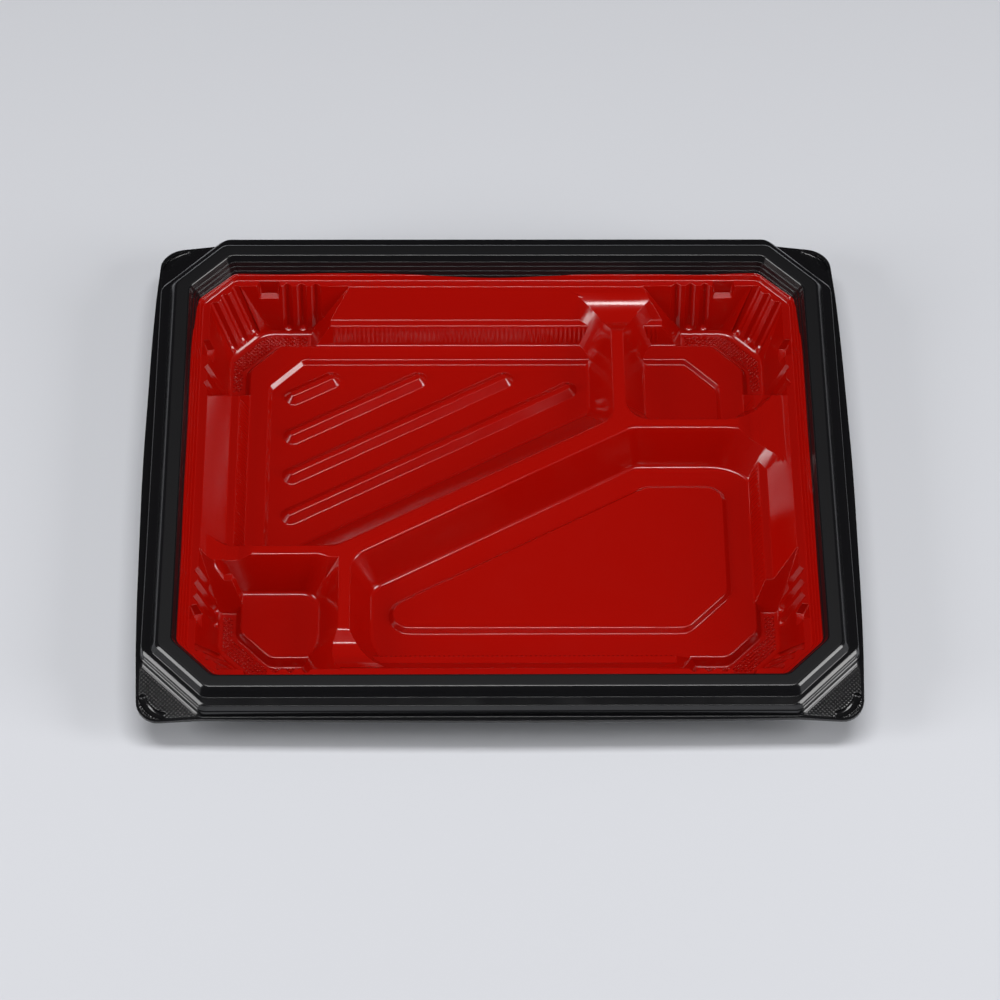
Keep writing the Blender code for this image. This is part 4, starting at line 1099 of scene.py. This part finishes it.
def bead_plan(middle, half):
    """Plan points of a bent bar with round ends, about the centre of its bend."""
    points = []
    for step in range(BEND_STEPS + 1):
        angle = middle + BEAD_HALF_ANGLE * (2.0 * step / BEND_STEPS - 1.0)
        points.append(wall_corner(angle, BEAD_RADIUS + half, 0.0))
    for hand, first in ((1.0, 0.0), (-1.0, math.pi)):
        angle = middle + BEAD_HALF_ANGLE * hand
        end = wall_corner(angle, BEAD_RADIUS, 0.0)
        for step in range(1, END_STEPS):
            arc = angle + first + math.pi * step / END_STEPS
            points.append((end[0] + half * math.cos(arc), end[1] + half * math.sin(arc)))
        if hand > 0.0:
            for step in range(BEND_STEPS + 1):
                angle = middle + BEAD_HALF_ANGLE * (1.0 - 2.0 * step / BEND_STEPS)
                points.append(wall_corner(angle, BEAD_RADIUS - half, 0.0))
    return points


def bead(side_x, side_y, grow):
    """One bent bar with round ends, sunk in a tab."""
    middle = math.atan2(side_y, side_x)
    levels = []
    levels_down = [(BEAD_TOP - grow * BEAD_CARRY, 0.0), (BEAD_BASE - grow, 0.0)]
    for share in BEAD_SHARES:
        shrink = (1.0 - math.sqrt(1.0 - share * share)) * BEAD_HALF_WIDTH
        levels_down.append((-BEAD_DEPTH * share - grow, shrink))
    centre = (side_x * BEAD_CENTRE[0], side_y * BEAD_CENTRE[1])
    for height, shrink in levels_down:
        plan = bead_plan(middle, BEAD_HALF_WIDTH + grow - shrink)
        corners = [(centre[0] + x, centre[1] + y) for x, y in plan]
        levels.append((corners, [0.0] * len(corners), height))
    maker = loft(levels, 1)
    for vert in maker.verts:
        vert.co.z += tab_height(vert.co.x, vert.co.y)
    return maker


print("points round a bead:", len(bead_plan(EIGHTH, BEAD_HALF_WIDTH)))

# %% [markdown]
# The black sheet is put together like the real one. Skirt and flange come first, with the knurl and
# the beads, and then the basin, which is the hollow grown by the wall. Last, the hollow itself is
# cut out, and a little more where the film lies.

# %% The black sheet
SEAT_GAP = 0.05 * MM
BASIN_MARGIN = 8.0 * MM
TABS = [(side_x, side_y) for side_x in (-1.0, 1.0) for side_y in (-1.0, 1.0)]


def skirt():
    """Crest, skirt and flange, closed across the middle."""
    outside = eased(SKIRT, SKIRT_RADII)[:-1]
    outside[-1] = (outside[-1][0], FLANGE_Z - SHEET / 2.0)
    inside = eased(SKIRT, SKIRT_RADII, -SHEET)[:-1]
    inside.append((inside[-1][0], FOOT_Z))
    made = solid(octagon_walls(outside, OUTLINE_STEPS, corner_setback))
    made = combine(made, flange_block(0.0, 0.0), "UNION")
    made = combine(made, flange_block(-CLEAR, SHEET + LIP), "DIFFERENCE")
    inner = octagon_walls(inside, OUTLINE_STEPS, lambda height: corner_setback(height + SHEET / 2.0))
    made = combine(made, solid(inner), "DIFFERENCE")
    made = combine(made, flange_block(SHEET, SHEET), "DIFFERENCE")
    made = combine(made, solid(*(knurl(*tab) for tab in TABS)), "UNION")
    made = combine(made, solid(*(bead(*tab, SHEET) for tab in TABS)), "UNION")
    return combine(made, solid(*(bead(*tab, 0.0) for tab in TABS)), "DIFFERENCE")


def black_sheet():
    """The whole black sheet as one closed body."""
    basin = combine(hollow(BASIN_WALL), half_space(-SHEET / 2.0, FOOT_Z - BASIN_MARGIN), "INTERSECT")
    made = combine(skirt(), basin, "UNION")
    made = combine(made, copy_of(food_space), "DIFFERENCE")
    bed = combine(hollow(FILM + SEAT_GAP), below_edge(SEAT_GAP), "INTERSECT")
    return clean(combine(made, bed, "DIFFERENCE"))


sheet = black_sheet()
print("faces of the black sheet:", len(sheet.data.polygons))

# %% [markdown]
# The film is a printed red layer with a satin face. Drawing has left it very slightly uneven, so
# its highlights are soft and a little mottled. Two noises do that: a fine one in the bump, and a
# broad one that shifts the roughness. A Bevel node first rounds the shading of every crease, since
# sheet never folds sharply, and gives each one its thin line of light.

# %% The red film's finish
CLOUD_SCALE = 90.0
CLOUD_DETAIL = 3.0
CLOUD_RANGE = (0.3, 0.7)
BEVEL_SAMPLES = 8


def node(tree, kind, **inputs):
    """One shader node with some of its inputs set."""
    made = tree.nodes.new(kind)
    for name, value in inputs.items():
        made.inputs[name].default_value = value
    return made


def textured(name, colour, roughness, noises, specular=0.5, crease=0.0):
    """A Principled material whose bump comes from noises: (scale, detail, height in metres)."""
    made = bpy.data.materials.new(name)
    made.use_nodes = True
    tree = made.node_tree
    shader = tree.nodes["Principled BSDF"]
    shader.inputs["Base Color"].default_value = (*colour, 1.0)
    shader.inputs["Specular IOR Level"].default_value = specular
    place = tree.nodes.new("ShaderNodeTexCoord")
    low, high = roughness
    cloud = node(tree, "ShaderNodeTexNoise", Scale=CLOUD_SCALE, Detail=CLOUD_DETAIL)
    spread = node(tree, "ShaderNodeMapRange")
    spread.inputs["From Min"].default_value = CLOUD_RANGE[0]
    spread.inputs["From Max"].default_value = CLOUD_RANGE[1]
    spread.inputs["To Min"].default_value = low
    spread.inputs["To Max"].default_value = high
    tree.links.new(place.outputs["Object"], cloud.inputs["Vector"])
    tree.links.new(cloud.outputs["Fac"], spread.inputs["Value"])
    tree.links.new(spread.outputs["Result"], shader.inputs["Roughness"])
    last = None
    if crease:
        last = node(tree, "ShaderNodeBevel", Radius=crease)
        last.samples = BEVEL_SAMPLES
    for scale, detail, height in noises:
        grain = node(tree, "ShaderNodeTexNoise", Scale=scale, Detail=detail)
        bump = node(tree, "ShaderNodeBump", Strength=1.0, Distance=height)
        tree.links.new(place.outputs["Object"], grain.inputs["Vector"])
        tree.links.new(grain.outputs["Fac"], bump.inputs["Height"])
        if last:
            tree.links.new(last.outputs["Normal"], bump.inputs["Normal"])
        last = bump
    tree.links.new(last.outputs["Normal"], shader.inputs["Normal"])
    return made


FILM_CREASE = 0.16 * MM
red = textured("satin_red_film", (0.325, 0.0022, 0.0004), (0.12, 0.18),
               [(260.0, 2.0, 0.02 * MM), (1500.0, 2.0, 0.003 * MM)], 0.5, FILM_CREASE)
print("nodes in the film's finish:", len(red.node_tree.nodes))

# %% [markdown]
# The black sheet is plain polystyrene. It is glossy, so its skirt looks deep black and only edges
# that face a lamp turn bright. The flat top of the rim copied the grain of the mould and is matt.
# The height of a point decides between the two, through the roughness.

# %% The black sheet's finish
def matt_above(made, low, high, matt):
    """Raise a material's roughness to a matt value between two heights."""
    tree = made.node_tree
    gloss = tree.nodes["Principled BSDF"].inputs["Roughness"].links[0].from_socket
    place = tree.nodes.new("ShaderNodeTexCoord")
    split = tree.nodes.new("ShaderNodeSeparateXYZ")
    rise = node(tree, "ShaderNodeMapRange")
    rise.inputs["From Min"].default_value = low
    rise.inputs["From Max"].default_value = high
    blend = tree.nodes.new("ShaderNodeMix")
    blend.inputs["B"].default_value = matt
    tree.links.new(place.outputs["Object"], split.inputs["Vector"])
    tree.links.new(split.outputs["Z"], rise.inputs["Value"])
    tree.links.new(rise.outputs["Result"], blend.inputs["Factor"])
    tree.links.new(gloss, blend.inputs["A"])
    tree.links.new(blend.outputs["Result"], tree.nodes["Principled BSDF"].inputs["Roughness"])


SHEET_CREASE = 0.14 * MM
black = textured("black_polystyrene", (0.0055, 0.0053, 0.0060), (0.14, 0.2),
                 [(700.0, 3.0, 0.004 * MM), (2600.0, 2.0, 0.0015 * MM)], 0.38, SHEET_CREASE)
matt_above(black, TRAY_HEIGHT - 0.10 * MM, TRAY_HEIGHT - 0.01 * MM, 0.4)
print("finishes:", red.name, black.name)

# %% [markdown]
# Both pieces are lifted to stand on the feet, shaded smooth except at real edges, and declared to
# the frame: what they ride on, which CAD layer they stand for, and whose finish they take.

# %% Dressing the frame
SHARP_ANGLE = math.radians(34.0)


def dress(made, name, finish, stands_for):
    """Name a piece, lift it into place and tie it to the frame."""
    made.name = name
    made.data.name = name
    made.data.transform(Matrix.Translation((0.0, 0.0, TRAY_HEIGHT)))
    made.data.materials.clear()
    made.data.materials.append(finish)
    made.data.polygons.foreach_set("material_index", [0] * len(made.data.polygons))
    made.data.polygons.foreach_set("use_smooth", [True] * len(made.data.polygons))
    made.data.set_sharp_from_angle(angle=SHARP_ANGLE)
    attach(made, "root")
    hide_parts(stands_for)


bpy.data.objects.remove(food_space, do_unlink=True)
dress(film, "inner_film", red, "lining_film")
dress(sheet, "tray_sheet", black, "base_sheet")
thickness = film.modifiers.new("film_thickness", "SOLIDIFY")
thickness.thickness = FILM
thickness.offset = 1.0
for piece in (film, sheet):
    even = piece.modifiers.new("even_normals", "WEIGHTED_NORMAL")
    even.keep_sharp = True
    print("dressed:", piece.name, "with", len(piece.data.polygons), "faces")

# %% [markdown]
# The tray was photographed from above and in front, with a long lens, on a plain pale ground.

# %% Camera
UNIT = 107.5 * MM
TILT = 0.9737244222
YAW = 0.0239000340
ROLL = -0.0183025022
SHIFT_X = 0.0072419741
SHIFT_Y = -0.1376359462
DISTANCE = 11.0073306
PHOTO_FOCAL = 3500.0
PHOTO_SIZE = 1000.0
SENSOR_WIDTH = 36.0

right = Vector((1.0, 0.0, 0.0))
ahead = Vector((0.0, math.cos(TILT), -math.sin(TILT)))
above = Vector((0.0, math.sin(TILT), math.cos(TILT)))
turned = Matrix.Rotation(-YAW, 3, "Z")
place = turned @ (right * SHIFT_X + above * SHIFT_Y - ahead * DISTANCE) * UNIT
axes = [turned @ (right * math.cos(ROLL) - above * math.sin(ROLL)),
        turned @ (right * math.sin(ROLL) + above * math.cos(ROLL)), turned @ -ahead]
lens = bpy.data.cameras.new("camera")
lens.sensor_width = SENSOR_WIDTH
lens.lens = SENSOR_WIDTH * PHOTO_FOCAL / PHOTO_SIZE
lens.clip_end = 20.0
camera = bpy.data.objects.new("camera", lens)
camera.matrix_world = (Matrix.Translation(place + Vector((0.0, 0.0, TRAY_HEIGHT)))
                       @ Matrix(axes).transposed().to_4x4())
bpy.context.scene.collection.objects.link(camera)
bpy.context.scene.camera = camera
print("camera at, in mm:", [round(value / MM) for value in camera.location])

# %% [markdown]
# Two tall lamps at the sides give most of the light and put the bright bands on the cut corners of
# the skirt. A lamp above, a little toward the viewer, draws the thin lines along the long edges. The
# side that level faces mirror, behind the tray, stays dark, so that the red stays deep.

# %% Floor and lamps
def lamp(name, place, aim, size, power):
    """A rectangular soft lamp that points at a place."""
    light = bpy.data.lights.new(name, "AREA")
    light.shape = "RECTANGLE"
    light.size, light.size_y = size
    light.energy = power
    made = bpy.data.objects.new(name, light)
    made.location = place
    made.rotation_euler = (Vector(aim) - Vector(place)).to_track_quat("-Z", "Y").to_euler()
    bpy.context.scene.collection.objects.link(made)
    return made


floor_maker = bmesh.new()
bmesh.ops.create_grid(floor_maker, x_segments=1, y_segments=1, size=3.0)
floor = solid(floor_maker)
floor.name = "floor"
ground = textured("pale_ground", (0.62, 0.63, 0.665), (0.7, 0.8), [(400.0, 2.0, 0.01 * MM)], 0.2)
floor.data.materials.append(ground)

lamp("overhead", (0.0, -0.14, 1.3), (0.0, 0.0, 0.0), (0.9, 0.2), 11.5)
lamp("left", (-1.07, -0.33, 0.52), (0.0, 0.0, 0.0), (0.3, 0.85), 8.2)
lamp("right", (1.07, -0.33, 0.52), (0.0, 0.0, 0.0), (0.3, 0.85), 9.0)
print("lamps in watts:", [round(light.energy, 1) for light in bpy.data.lights])

world = bpy.data.worlds.new("studio")
world.use_nodes = True
world.node_tree.nodes["Background"].inputs["Color"].default_value = (0.9, 0.95, 1.0, 1.0)
world.node_tree.nodes["Background"].inputs["Strength"].default_value = 0.03
bpy.context.scene.world = world
bpy.context.scene.view_settings.view_transform = "Standard"
